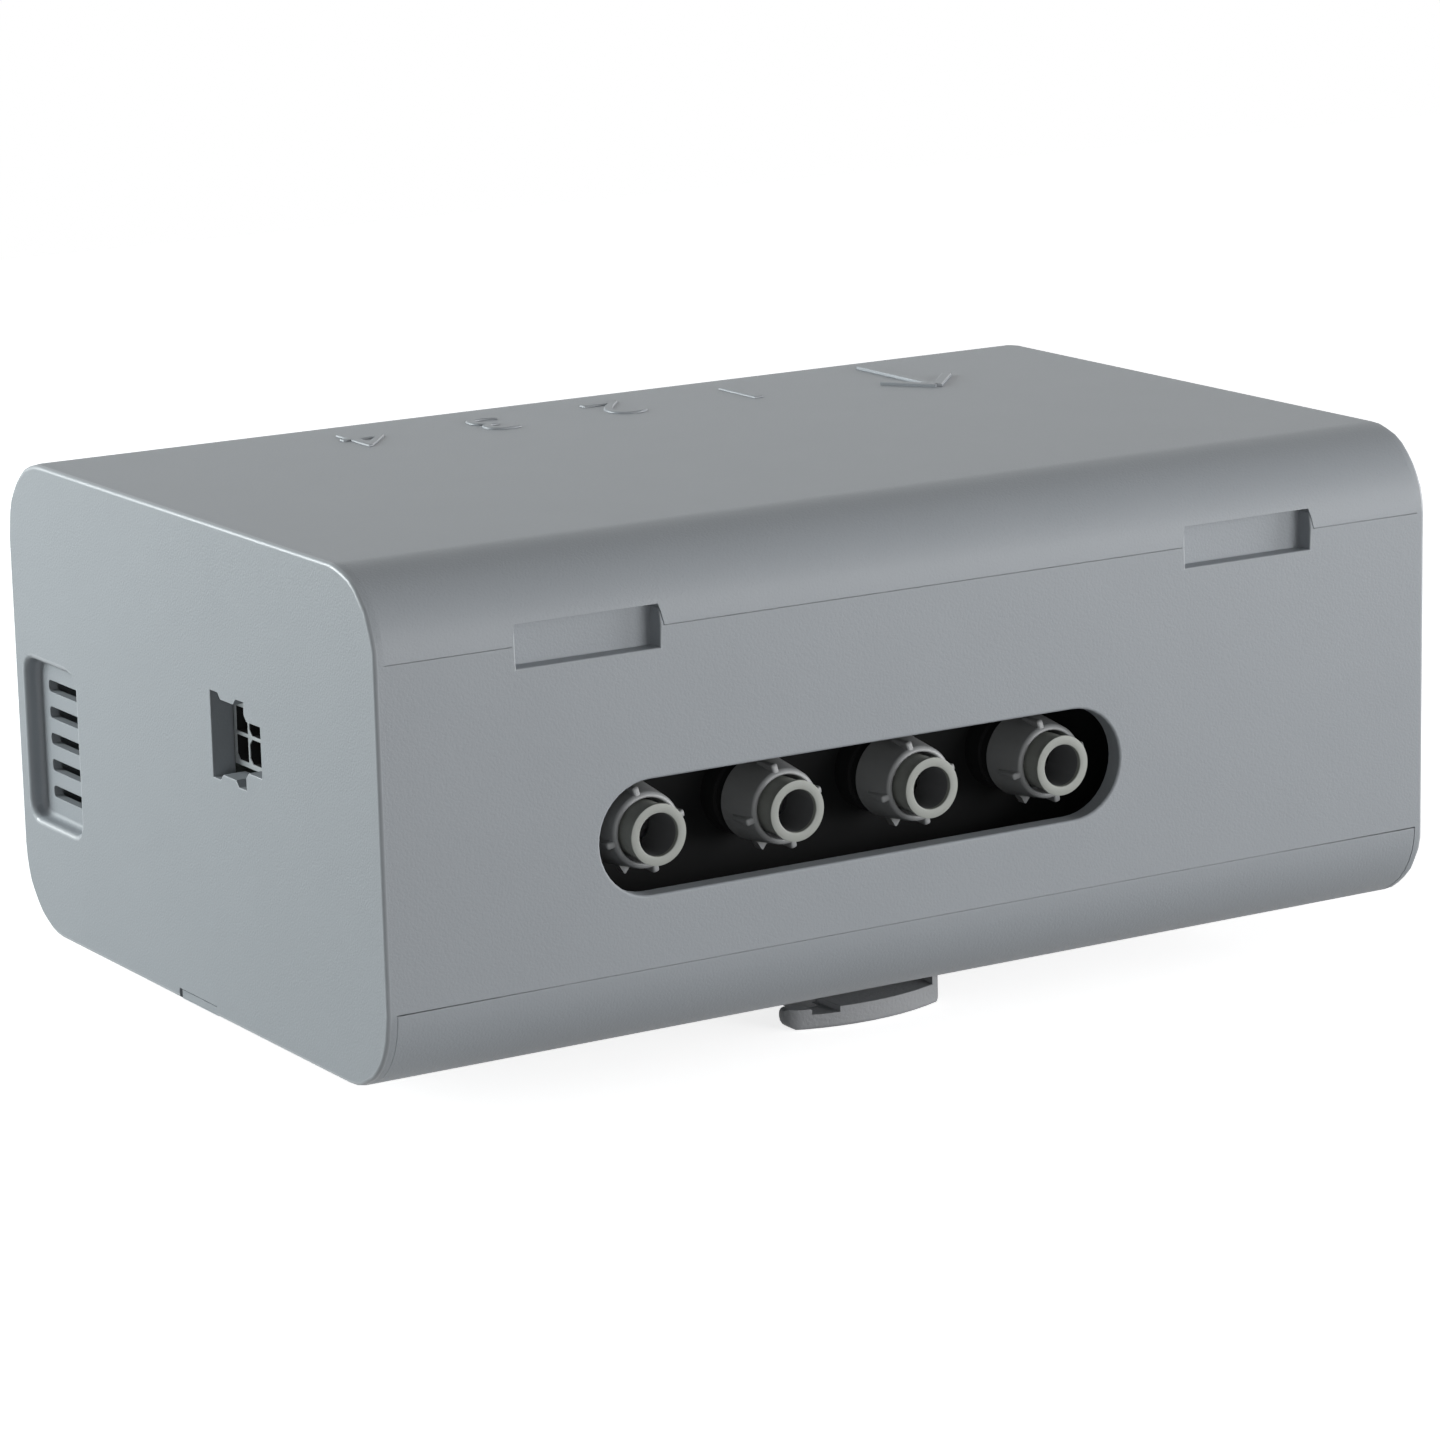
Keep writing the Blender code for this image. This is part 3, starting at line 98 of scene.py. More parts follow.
# %% Read the places of the main pieces
housing_low, housing_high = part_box("housing_body")
cover_low, cover_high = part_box("top_cover")
header_low, header_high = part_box("power_header")
latch_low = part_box("rail_clip_latch")[0]
header_middle = (header_low + header_high) / 2
FRONT = housing_low.y
LEFT = housing_low.x
SEAM = cover_low.z
PORT_NAMES = ["port_1", "port_2", "port_3", "port_4"]
PORT_PLACES = []
for port in PORT_NAMES:
    collet_low, collet_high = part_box(port + "_collet")
    middle_x = (collet_low.x + collet_high.x) / 2
    middle_z = (collet_low.z + collet_high.z) / 2
    PORT_PLACES.append(Vector((middle_x, FRONT, middle_z)))
port_row = [round(place.x / MM, 2) for place in PORT_PLACES]
print("front at", round(FRONT / MM, 2), "mm, ports at", port_row, "mm")

# %% [markdown]
# ## Tools for working as by hand
#
# Modelling by hand means: pick some edges or faces, then push, round or cut them. A script has no
# mouse, so it picks by place or by direction. These few helpers open a piece in edit mode and
# select what a test accepts. Everything is deselected first, because an operator acts on all that
# is selected.

# %% Helpers for selecting and shaping
SHARP_ANGLE = math.radians(25)
FLAT_ANGLE = math.radians(0.5)


def start_fresh():
    if bpy.context.mode != "OBJECT":
        bpy.ops.object.mode_set(mode="OBJECT")
    bpy.ops.object.select_all(action="DESELECT")


def open_piece(piece):
    """One piece in edit mode with nothing selected."""
    start_fresh()
    bpy.context.view_layer.objects.active = piece
    piece.select_set(True)
    bpy.ops.object.mode_set(mode="EDIT")
    bpy.ops.mesh.select_all(action="DESELECT")


def close_piece():
    bpy.ops.object.mode_set(mode="OBJECT")


def choose(piece, kind, wanted):
    """Selects the vertices, edges or faces of the open piece that the test accepts."""
    bpy.ops.mesh.select_mode(type=kind)
    bpy.ops.mesh.select_all(action="DESELECT")
    shape = bmesh.from_edit_mesh(piece.data)
    parts = {"VERT": shape.verts, "EDGE": shape.edges, "FACE": shape.faces}[kind]
    count = 0
    for one in parts:
        if wanted(one):
            one.select_set(True)
            count += 1
    shape.select_flush_mode()
    bmesh.update_edit_mesh(piece.data)
    return count


def middle_of(edge):
    return (edge.verts[0].co + edge.verts[1].co) / 2


def soften(piece, width, wanted, segments=2):
    """Rounds the sharp edges whose middle and direction the test accepts."""
    open_piece(piece)

    def sharp_and_wanted(edge):
        if len(edge.link_faces) != 2 or edge.calc_face_angle(0) < SHARP_ANGLE:
            return False
        along = (edge.verts[1].co - edge.verts[0].co).normalized()
        return wanted(middle_of(edge), along)

    count = choose(piece, "EDGE", sharp_and_wanted)
    if count:
        bpy.ops.mesh.bevel(offset=width, segments=segments, affect="EDGES")
    close_piece()
    return count


def smooth(piece, angle=32):
    """Smooth shading that keeps the sharp edges, with flat faces left flat."""
    start_fresh()
    bpy.context.view_layer.objects.active = piece
    piece.select_set(True)
    bpy.ops.object.shade_smooth_by_angle(angle=math.radians(angle))
    weighted = piece.modifiers.new("flat faces stay flat", "WEIGHTED_NORMAL")
    weighted.keep_sharp = True
    bpy.ops.object.modifier_apply(modifier=weighted.name)


def take_over(node, name):
    """A copy of a measured solid whose loose triangles are merged into whole faces."""
    start_fresh()
    piece = bpy.data.objects.new(name, NODES[node].data.copy())
    bpy.context.scene.collection.objects.link(piece)
    bpy.context.view_layer.objects.active = piece
    piece.select_set(True)
    bpy.ops.mesh.customdata_custom_splitnormals_clear()
    open_piece(piece)
    bpy.ops.mesh.select_all(action="SELECT")
    bpy.ops.mesh.remove_doubles(threshold=0.002 * MM)
    bpy.ops.mesh.dissolve_limited(angle_limit=FLAT_ANGLE)
    close_piece()
    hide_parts(node)
    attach(piece, NODES[node]["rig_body"])
    return piece


def near(value, target, reach=0.05):
    """Whether two lengths in metres agree to within a reach in millimetres."""
    return abs(value - target) < reach * MM


print("helpers ready")

# %% [markdown]
# ## Colour and texture
#
# Every finish starts from the real material and how its surface was made. Colours are given as
# sRGB hex values, and one function turns them into the linear values that a shader works with.
# One more function adds a node with its settings and links, which keeps each recipe short.


# %% Helpers for finishes
def linear(hex_colour):
    """Linear RGBA of an sRGB hex colour."""
    channels = []
    for place in (1, 3, 5):
        share = int(hex_colour[place : place + 2], 16) / 255
        channels.append(share / 12.92 if share <= 0.04045 else ((share + 0.055) / 1.055) ** 2.4)
    return channels + [1]


def add_node(material, kind, inputs=None, **settings):
    """One node with its settings; an input is a value or another node's output."""
    node = material.node_tree.nodes.new(kind)
    for name, value in settings.items():
        setattr(node, name, value)
    for name, value in (inputs or {}).items():
        if isinstance(value, bpy.types.NodeSocket):
            material.node_tree.links.new(value, node.inputs[name])
        else:
            node.inputs[name].default_value = value
    return node


def new_finish(name):
    material = bpy.data.materials.new(name)
    material.use_nodes = True
    material.node_tree.nodes.clear()
    return material


CLOUD_SIZE = 14 * MM


def moulded(name, colour, shade, roughness, grain, depth, ior=1.53):
    """A plastic, clouded faintly to a second shade, whose grain and depth are in millimetres."""
    material = new_finish(name)
    place = add_node(material, "ShaderNodeTexCoord").outputs["Object"]
    cloud = add_node(
        material,
        "ShaderNodeTexNoise",
        {"Vector": place, "Scale": 1 / CLOUD_SIZE, "Detail": 3.0},
    )
    tint = add_node(
        material,
        "ShaderNodeMix",
        {"Factor": cloud.outputs["Fac"], "A": linear(colour), "B": linear(shade)},
        data_type="RGBA",
    )
    fine = add_node(
        material,
        "ShaderNodeTexNoise",
        {"Vector": place, "Scale": 1 / (grain * MM), "Detail": 2.0},
    )
    bump = add_node(
        material,
        "ShaderNodeBump",
        {"Height": fine.outputs["Fac"], "Distance": depth * MM},
    )
    shader = add_node(
        material,
        "ShaderNodeBsdfPrincipled",
        {
            "Base Color": tint.outputs["Result"],
            "Roughness": roughness,
            "IOR": ior,
            "Normal": bump.outputs["Normal"],
        },
    )
    add_node(material, "ShaderNodeOutputMaterial", {"Surface": shader.outputs["BSDF"]})
    return material


def wear(piece, material):
    """Puts one finish on a piece."""
    piece.data.materials.clear()
    piece.data.materials.append(material)


def wear_inside(piece, material, wanted):
    """Puts a second finish on the faces that the test accepts."""
    piece.data.materials.append(material)
    open_piece(piece)
    count = choose(piece, "FACE", wanted)
    piece.active_material_index = len(piece.data.materials) - 1
    bpy.ops.object.material_slot_assign()
    close_piece()
    return count


print("finish helpers ready")

# %% [markdown]
# ## Finishes
#
# The box is ABS moulded in a spark-eroded tool, so it is dull and very finely grained. The clip is
# glass-filled nylon, which is coarser. The fittings and collets are smooth acetal. What lies behind
# the slot is black nylon, and black and dark grey are also painted as shade on the fittings' backs,
# deep in the collets' bores and inside the header's pockets, so that the eye stops at the ports.
# Grain sizes are in millimetres.

# %% Moulded plastics
# Light grey ABS from an eroded tool: dull, with a grain of about a third of a millimetre
housing_abs = moulded(
    "eroded_grey_abs", "#989da2", "#94999e", roughness=0.52, grain=0.35, depth=0.045, ior=1.45
)
# The same ABS where the grain runs out on edges and marks: smoother there, and painted paler as a
# highlight on the roundings
smooth_abs_painted_highlight = moulded(
    "smooth_grey_abs_painted_highlight", "#a3a8ad", "#9fa4a9", roughness=0.36, grain=0.35, depth=0.01
)
# Acetal copolymer in mid grey: smoother, with soft highlights on its round edges
fitting_acetal = moulded(
    "mid_grey_acetal", "#9a9c9d", "#949697", roughness=0.42, grain=0.6, depth=0.004, ior=1.48
)
# Acetal copolymer in warm light grey for the release collets
collet_acetal = moulded(
    "warm_grey_acetal", "#9c9f9a", "#979a95", roughness=0.5, grain=0.5, depth=0.004, ior=1.48
)
# The collets' acetal deep in the bores, painted dark grey as shade
painted_shade_acetal = moulded(
    "acetal_in_painted_shade", "#6a6b6d", "#646567", roughness=0.6, grain=0.5, depth=0.004, ior=1.48
)
# Glass-filled nylon: the fibres roughen the skin to about half a millimetre
clip_nylon = moulded(
    "glass_filled_grey_nylon", "#989a9d", "#8c8e91", roughness=0.6, grain=0.5, depth=0.09
)
# Black nylon of the manifold and the pump head: nearly no light comes back. The same black is
# painted as shade on the fittings' backs and inside the header's pockets
black_nylon_and_painted_shade = moulded(
    "black_nylon_also_painted_shade", "#101112", "#0d0e0f", roughness=0.85, grain=0.6, depth=0.006, ior=1.35
)
# Cast resin round the valve coils: black, and glossier than nylon
coil_resin = moulded(
    "black_cast_resin", "#17181a", "#131416", roughness=0.3, grain=2.0, depth=0.01, ior=1.55
)
# Light grey nylon frame of the header
header_nylon = moulded(
    "grey_header_nylon", "#a3a8aa", "#9da2a4", roughness=0.45, grain=0.6, depth=0.004
)
# Nitrile rubber of the seals: black and quite dull
seal_rubber = moulded(
    "black_nitrile_rubber", "#0f0f10", "#0c0c0d", roughness=0.75, grain=0.4, depth=0.006
)
# Black silicone hose with the faint bloom of its powder
hose_silicone = moulded(
    "black_silicone", "#18181a", "#202022", roughness=0.55, grain=1.5, depth=0.006, ior=1.41
)
# Green solder mask on glass laminate, with the weave of about 0.5 mm faintly pressed through
board_mask = moulded(
    "green_solder_mask", "#1d5338", "#1a4a33", roughness=0.35, grain=0.5, depth=0.006, ior=1.55
)
print("moulded plastics:", len(bpy.data.materials))

# %% [markdown]
# ## Metals
#
# The screws, plungers and grab rings are zinc-plated steel, the motor's can is drawn and plated,
# and the header's pins are tinned brass. A metal is mostly its reflection, so its colour is bright
# and the texture goes into the roughness, which varies over the faint spangle that plating leaves.

# %% Plated metals
SPANGLE_SPREAD = 0.08


def plated(name, colour, roughness, spangle):
    """A plated metal whose roughness varies over spangles of a size in millimetres."""
    material = new_finish(name)
    place = add_node(material, "ShaderNodeTexCoord").outputs["Object"]
    patch = add_node(
        material,
        "ShaderNodeTexNoise",
        {"Vector": place, "Scale": 1 / (spangle * MM), "Detail": 2.0},
    )
    dull = add_node(
        material,
        "ShaderNodeMapRange",
        {
            "Value": patch.outputs["Fac"],
            "To Min": roughness - SPANGLE_SPREAD,
            "To Max": roughness + SPANGLE_SPREAD,
        },
    )
    shader = add_node(
        material,
        "ShaderNodeBsdfPrincipled",
        {"Base Color": linear(colour), "Metallic": 1.0, "Roughness": dull.outputs["Result"]},
    )
    add_node(material, "ShaderNodeOutputMaterial", {"Surface": shader.outputs["BSDF"]})
    return material


# Zinc on steel: a pale metal whose highlights are broken up by the spangle
zinc_steel = plated("zinc_plated_steel", "#c3c6c9", roughness=0.34, spangle=1.2)
# Drawn and plated steel of the motor's can: shinier, in broad patches
motor_steel = plated("drawn_plated_steel", "#b9bcbf", roughness=0.3, spangle=2.5)
# Tin on the brass of the pins: bright, with a warm tinge
tinned_brass = plated("tinned_brass", "#d8d3c4", roughness=0.3, spangle=0.8)
print("metals:", zinc_steel.name, motor_steel.name, tinned_brass.name)

# %% [markdown]
# ## The shell
#
# The housing is a tub with two full end walls, and a cover and a base with rounded edges lie
# between them. Moulded parts have no sharp edges: the tool's corners leave a radius of some tenths
# of a millimetre, and it is this radius that draws the bright and dark lines along seams, windows
# and slots. A Bevel modifier over everything would be quicker, but one short edge somewhere would
# hold back the radius everywhere. So the end walls' edges are squared up first, and then each kind
# of edge is picked by its place and gets its own radius. Roundings wear a smoother finish whose
# paler colour is a painted highlight.

# %% Places on the shell
WALL_SEAM = SEAM - 0.15 * MM
BASE_SEAM = 19.9 * MM
BASE_END = housing_high.x - 1.8 * MM
END_REACH = 0.25 * MM
WINDOW_PLACES = (-56.65 * MM, 56.65 * MM)
WINDOW_HALF = 11.5 * MM
VENT_FLOOR = LEFT + 2.4 * MM
SLATS_Y, SLATS_Z = 47.5 * MM, 37.7 * MM
CORNER_RADIUS = 12.5 * MM
CORNER_Y = 47.5 * MM
END_MIDDLE_Z, END_FLAT_Z = 44.4 * MM, 24.5 * MM


def on_wall(spot):
    """Whether a place is on the front or the back face."""
    return near(abs(spot.y), -FRONT)


def at_slot(spot):
    return -56.5 * MM < spot.x < 33.8 * MM and 30.0 * MM < spot.z < 47.8 * MM


def at_vent(spot):
    return 38.0 * MM < spot.y < 57.0 * MM and 25.0 * MM < spot.z < 50.8 * MM


def at_slats(spot):
    """Whether a place is among the vent's slots, away from the walls of its recess."""
    return abs(spot.y - SLATS_Y) < 7 * MM and abs(spot.z - SLATS_Z) < 11 * MM


def at_vent_foot(spot):
    return near(spot.x, VENT_FLOOR) and at_vent(spot) and not at_slats(spot)


def at_plug(spot):
    return abs(spot.y - header_middle.y) < 12 * MM and abs(spot.z - header_middle.z) < 9 * MM


def at_end_edge(spot):
    """Whether a place is on the outer edge of an end wall, a rectangle with rounded corners."""
    beyond_y = abs(spot.y) - CORNER_Y
    beyond_z = abs(spot.z - END_MIDDLE_Z) - END_FLAT_Z
    outwards = math.hypot(max(beyond_y, 0), max(beyond_z, 0)) + min(max(beyond_y, beyond_z), 0)
    return outwards > CORNER_RADIUS - 0.2 * MM and abs(spot.x) > housing_high.x - 0.2 * MM


def at_window(spot, low, high):
    """Whether a place is at a window, between two heights over the seam in millimetres."""
    beside = min(abs(spot.x - place) for place in WINDOW_PLACES) < 13 * MM
    return beside and low * MM < spot.z - WALL_SEAM < high * MM


print("seams at", round(WALL_SEAM / MM, 2), "and", round(BASE_SEAM / MM, 2), "mm")

# %% Housing with its end edges squared up and its window rims let into the cover
housing = take_over("housing_body", "housing_shell")
open_piece(housing)
for end in (-1, 1):
    choose(housing, "VERT", lambda corner: corner.co.x * end > 0 and at_end_edge(corner.co))
    bpy.ops.transform.resize(value=(0, 1, 1), center_override=(end * housing_high.x, 0, 0))
    bpy.ops.mesh.remove_doubles(threshold=0.2 * MM)
for wall in (-1, 1):

    def on_rim(corner, low, high):
        return near(corner.co.y, wall * 59.95 * MM, 0.02) and at_window(corner.co, low, high)

    choose(housing, "VERT", lambda corner: on_rim(corner, 2, 3))
    bpy.ops.transform.translate(value=(0, -wall * 0.15 * MM, 0))
    choose(housing, "VERT", lambda corner: on_rim(corner, -0.1, 0.1))
    bpy.ops.transform.translate(value=(0, wall * 0.05 * MM, 0))
bpy.ops.mesh.select_all(action="SELECT")
bpy.ops.mesh.remove_doubles(threshold=0.01 * MM)
close_piece()
print("housing corners:", len(housing.data.vertices))


# %% Housing with rounded edges
def window_rim(spot, along):
    """Whether an edge runs along the bottom or up a side of a window."""
    aside = min(abs(spot.x - place) for place in WINDOW_PLACES)
    upright = abs(along.z) > 0.95 and near(aside, WINDOW_HALF, 0.2) and at_window(spot, -3.3, 3.3)
    lowest = abs(along.x) > 0.95 and at_window(spot, -3.3, -2.9)
    return near(abs(spot.y), -FRONT, 0.25) and (upright or lowest)


def plug_left(spot, along):
    """Whether an edge runs up the left side of the plug's cut-out."""
    beside = at_plug(spot) and spot.y > header_middle.y + 4 * MM
    return beside and near(spot.x, LEFT) and abs(along.z) > 0.9


def painted_highlight_face(face):
    """Whether a face belongs to the rounding of an end wall or of a window's rim, which gets the
    painted highlight.
    """
    spot = face.calc_center_median()
    at_end = abs(spot.x) > housing_high.x - 0.7 * MM and not at_vent(spot)
    at_rim = near(abs(spot.y), -FRONT, 0.35) and at_window(spot, -3.3, 3.3)
    end_slant = 0.05 < abs(face.normal.x) < 0.999
    rim_slant = 0.1 < abs(face.normal.y) < 0.985
    return at_end and end_slant or at_rim and rim_slant


rounded_edges = [
    soften(housing, 0.60 * MM, lambda spot, along: at_end_edge(spot), 5),
    soften(housing, 0.10 * MM, lambda spot, along: on_wall(spot) and near(spot.z, WALL_SEAM)),
    soften(housing, 0.08 * MM, lambda spot, along: on_wall(spot) and near(spot.z, BASE_SEAM)),
    soften(housing, 0.25 * MM, window_rim, 4),
    soften(housing, 0.40 * MM, lambda spot, along: near(spot.y, FRONT) and at_slot(spot), 3),
    soften(housing, 0.20 * MM, lambda spot, along: near(spot.y, FRONT + 3 * MM) and at_slot(spot)),
    soften(housing, 0.90 * MM, lambda spot, along: near(spot.x, LEFT) and at_vent(spot), 5),
    soften(housing, 0.90 * MM, lambda spot, along: at_vent_foot(spot), 5),
    soften(housing, 0.12 * MM, lambda spot, along: near(spot.x, VENT_FLOOR) and at_slats(spot)),
    soften(housing, 0.55 * MM, plug_left, 4),
    soften(housing, 0.16 * MM, lambda spot, along: near(spot.x, LEFT, 0.01) and at_plug(spot)),
]
wear(housing, housing_abs)
# The roundings wear the smoother finish, painted paler as a highlight
wear_inside(housing, smooth_abs_painted_highlight, painted_highlight_face)
smooth(housing)
print("housing edges rounded, by kind:", rounded_edges)

# %% Cover and base, closed up to their seams
SEAM_CLOSING = 0.11 * MM
COVER_END_CLOSING = 0.095 * MM
NOTCH_SHIFT = 0.14 * MM
BASE_BOW = 62 * MM


def left_in_notch(corner, window):
    """Whether a corner of the cover is on the left side of a window's notch."""
    return 11 * MM < window - corner.co.x < 12.5 * MM and corner.co.z < 72.1 * MM


def on_base_bow(corner):
    """Whether a corner is on the middle of the base's seam, where it bows up to the housing."""
    return near(corner.co.z, BASE_SEAM - 0.15 * MM) and abs(corner.co.x) < BASE_BOW + 1 * MM


cover = take_over("top_cover", "cover_shell")
base = take_over("base_plate", "base_shell")
open_piece(cover)
choose(cover, "VERT", lambda corner: near(corner.co.z, SEAM))
bpy.ops.transform.translate(value=(0, 0, -SEAM_CLOSING))
for side in (-1, 1):
    choose(cover, "VERT", lambda corner: near(corner.co.x, side * cover_high.x))
    bpy.ops.transform.translate(value=(side * COVER_END_CLOSING, 0, 0))
for window in WINDOW_PLACES:
    choose(cover, "VERT", lambda corner: left_in_notch(corner, window))
    bpy.ops.transform.translate(value=(NOTCH_SHIFT, 0, 0))
open_piece(base)
for side in (-1, 1):
    bpy.ops.mesh.select_all(action="SELECT")
    bpy.ops.mesh.bisect(plane_co=(side * BASE_BOW, 0, 0), plane_no=(1, 0, 0))
choose(base, "VERT", on_base_bow)
bpy.ops.transform.translate(value=(0, 0, SEAM_CLOSING))
for side in (-1, 1):
    choose(base, "VERT", lambda corner: near(corner.co.x, side * BASE_END))
    bpy.ops.transform.translate(value=(side * END_REACH, 0, 0))
close_piece()


def window_top(spot):
    return near(abs(spot.y), -FRONT, 0.6) and at_window(spot, 0.2, 3.3)


def at_base_end(spot, along):
    """Whether an edge runs round an end of the base."""
    at_end = near(abs(spot.x), BASE_END + END_REACH)
    return at_end and abs(along.x) < 0.3 and spot.z < BASE_SEAM


def on_base_rounding(face):
    spot = face.calc_center_median()
    return abs(spot.x) > BASE_END + END_REACH - 0.2 * MM and 0.1 < abs(face.normal.x) < 0.97


COVER_SEAM = SEAM - SEAM_CLOSING
rounded_edges = [
    soften(cover, 0.08 * MM, lambda spot, along: on_wall(spot) and near(spot.z, COVER_SEAM)),
    soften(cover, 0.22 * MM, lambda spot, along: window_top(spot) and abs(along.x) > 0.9, 3),
    soften(cover, 0.05 * MM, lambda spot, along: window_top(spot) and abs(along.z) > 0.7),
    soften(base, 0.08 * MM, lambda spot, along: on_wall(spot) and near(spot.z, BASE_SEAM, 0.2)),
    soften(base, 0.18 * MM, at_base_end, 3),
]
for shell in (cover, base):
    wear(shell, housing_abs)
# The base's end roundings wear the smoother finish, painted paler as a highlight
wear_inside(base, smooth_abs_painted_highlight, on_base_rounding)
for shell in (cover, base):
    smooth(shell)
print("cover and base edges rounded, by kind:", rounded_edges)

# %% [markdown]
# ## Push-in fittings
#
# Each port is a turned-looking moulding: a barrel that widens towards the back, a rounded lip at
# its rim and four short teeth behind the lip that a release tool turns against. It could be a
# cylinder with modifiers, but a turned part is best drawn as half of its section and spun round its
# axis. The section starts as a single point that is extruded from corner to corner. A tooth starts
# as a cube whose corners are pulled into a wedge. What repeats is shaped once: one tooth is copied
# round the barrel, and the first port's fitting is copied along the row.


# %% Fitting barrels
def turn_section(name, section, axis_place, steps=64):
    """Spins a section of (radius, depth) corners in millimetres round a port's axis."""
    start_fresh()
    radius, depth = section[0]
    first = axis_place + Vector((radius * MM, depth * MM, 0))
    bpy.ops.mesh.primitive_plane_add(size=MM, location=first)
    piece = bpy.context.object
    piece.name = name
    bpy.ops.object.transform_apply(location=True, rotation=True, scale=True)
    bpy.ops.object.mode_set(mode="EDIT")
    bpy.ops.mesh.select_mode(type="VERT")
    bpy.ops.mesh.select_all(action="SELECT")
    bpy.ops.mesh.merge(type="CENTER")
    for (last_radius, last_depth), (radius, depth) in zip(section, section[1:]):
        step = Vector(((radius - last_radius) * MM, (depth - last_depth) * MM, 0))
        bpy.ops.mesh.extrude_region_move(TRANSFORM_OT_translate={"value": step})
    bpy.ops.mesh.select_all(action="SELECT")
    bpy.ops.mesh.spin(steps=steps, angle=2 * math.pi, center=axis_place, axis=(0, 1, 0))
    bpy.ops.mesh.select_all(action="SELECT")
    bpy.ops.mesh.remove_doubles(threshold=0.001 * MM)
    bpy.ops.mesh.normals_make_consistent(inside=False)
    bpy.ops.object.mode_set(mode="OBJECT")
    return piece


def copy_to(first, name, step):
    """A copy of a finished piece, with its own mesh, moved by a step."""
    start_fresh()
    bpy.context.view_layer.objects.active = first
    first.select_set(True)
    bpy.ops.object.duplicate(linked=False)
    piece = bpy.context.object
    piece.name = name
    bpy.ops.transform.translate(value=step)
    bpy.ops.object.transform_apply(location=True, rotation=True, scale=True)
    return piece


def repeat_along_ports(first, ending):
    """The first port's piece and a copy of it for each of the other ports."""
    row = [first]
    for port, place in zip(PORT_NAMES[1:], PORT_PLACES[1:]):
        row.append(copy_to(first, port + ending, place - PORT_PLACES[0]))
    return row


def quarter(centre, radius, start, end, steps=4):
    """Corners of an arc in a section, angles in degrees."""
    corners = []
    for step in range(steps + 1):
        angle = math.radians(start + (end - start) * step / steps)
        corners.append((centre[0] + radius * math.cos(angle), centre[1] + radius * math.sin(angle)))
    return corners


fitting_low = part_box("port_1_fitting")[0]
RIM = (fitting_low.y - FRONT) / MM
CONE = 7.5
fitting_section = [(4.75, RIM + 4.9)]
fitting_section += quarter((4.95, RIM + 0.2), 0.2, 180, 270, 3)
fitting_section += quarter((4.9, RIM + 0.7), 0.7, -80, 0, 6)
fitting_section += quarter((6.2, RIM + CONE - 0.2), 0.2, 0, 90, 3)
fitting_section += [(5.8, RIM + CONE), (5.8, RIM + 9.6), (6.3, RIM + 9.7), (6.3, RIM + 13.1)]
fitting_section += [(5.0, RIM + 13.1), (5.0, RIM + 20.1), (2.0, RIM + 20.1), (2.0, RIM + 13.2)]
fitting_section += [(3.1, RIM + 13.2), (3.1, RIM + 8.4), (4.9, RIM + 8.4), (4.9, RIM + 4.9)]
fitting_section += [(4.75, RIM + 4.9)]
print("rim", round(RIM, 2), "mm behind the front; section corners:", len(fitting_section))

# %% Teeth behind the rim
FIRST_TOOTH = -14
KEEL_TURN = 182


def add_block(axis_place, width, start, length, root, crest):
    """A block that stands on top of the barrel, sizes in millimetres."""
    start_fresh()
    size = Vector((width, length, crest - root)) * MM
    middle = axis_place + Vector((0, start + length / 2, (root + crest) / 2)) * MM
    bpy.ops.mesh.primitive_cube_add(size=1, location=middle, scale=size)
    block = bpy.context.object
    bpy.ops.object.transform_apply(location=True, rotation=True, scale=True)
    open_piece(block)
    return block, middle


def swing(axis_place, turn):
    """Turns the open piece clockwise round the port's axis, as seen from the front."""
    bpy.ops.mesh.select_all(action="SELECT")
    bpy.ops.transform.rotate(value=math.radians(-turn), orient_axis="Y", center_override=axis_place)
    close_piece()


def add_tooth(axis_place, turn):
    """A rib that is steep in front, rounded along its crest and runs out on the barrel."""
    tooth, middle = add_block(
        axis_place, width=1.1, start=RIM + 0.1, length=5.8, root=4.9, crest=6.6
    )
    choose(tooth, "VERT", lambda corner: corner.co.z > middle.z and corner.co.y > middle.y)
    bpy.ops.transform.translate(value=(0, -1.6 * MM, -0.05 * MM))
    choose(tooth, "VERT", lambda corner: corner.co.y > middle.y)
    bpy.ops.transform.resize(value=(0.7, 1, 1), center_override=middle)
    choose(tooth, "VERT", lambda corner: corner.co.z > middle.z and corner.co.y < middle.y)
    bpy.ops.transform.translate(value=(0, 0.3 * MM, 0))

    def above_or_in_front(edge):
        spot = middle_of(edge) - middle
        return spot.z > 0.3 * MM or spot.y < -2 * MM

    choose(tooth, "EDGE", above_or_in_front)
    bpy.ops.mesh.bevel(offset=0.36 * MM, segments=4, affect="EDGES")
    swing(axis_place, turn)
    return tooth


def add_keel(axis_place, turn):
    """The small pointed stop under the barrel."""
    keel, middle = add_block(
        axis_place, width=2.6, start=RIM + 6.2, length=1.6, root=5.8, crest=7.5
    )
    choose(keel, "VERT", lambda corner: corner.co.z > middle.z)
    bpy.ops.transform.resize(value=(0.08, 1, 1), center_override=middle)
    swing(axis_place, turn)
    return keel


def add_teeth(axis_place):
    """Four teeth: the first one is shaped, the others are copies of it that are swung on."""
    first = add_tooth(axis_place, FIRST_TOOTH)
    teeth = [first]
    for turn in (90, 180, 270):
        tooth = copy_to(first, first.name, Vector())
        open_piece(tooth)
        swing(axis_place, turn)
        teeth.append(tooth)
    return teeth


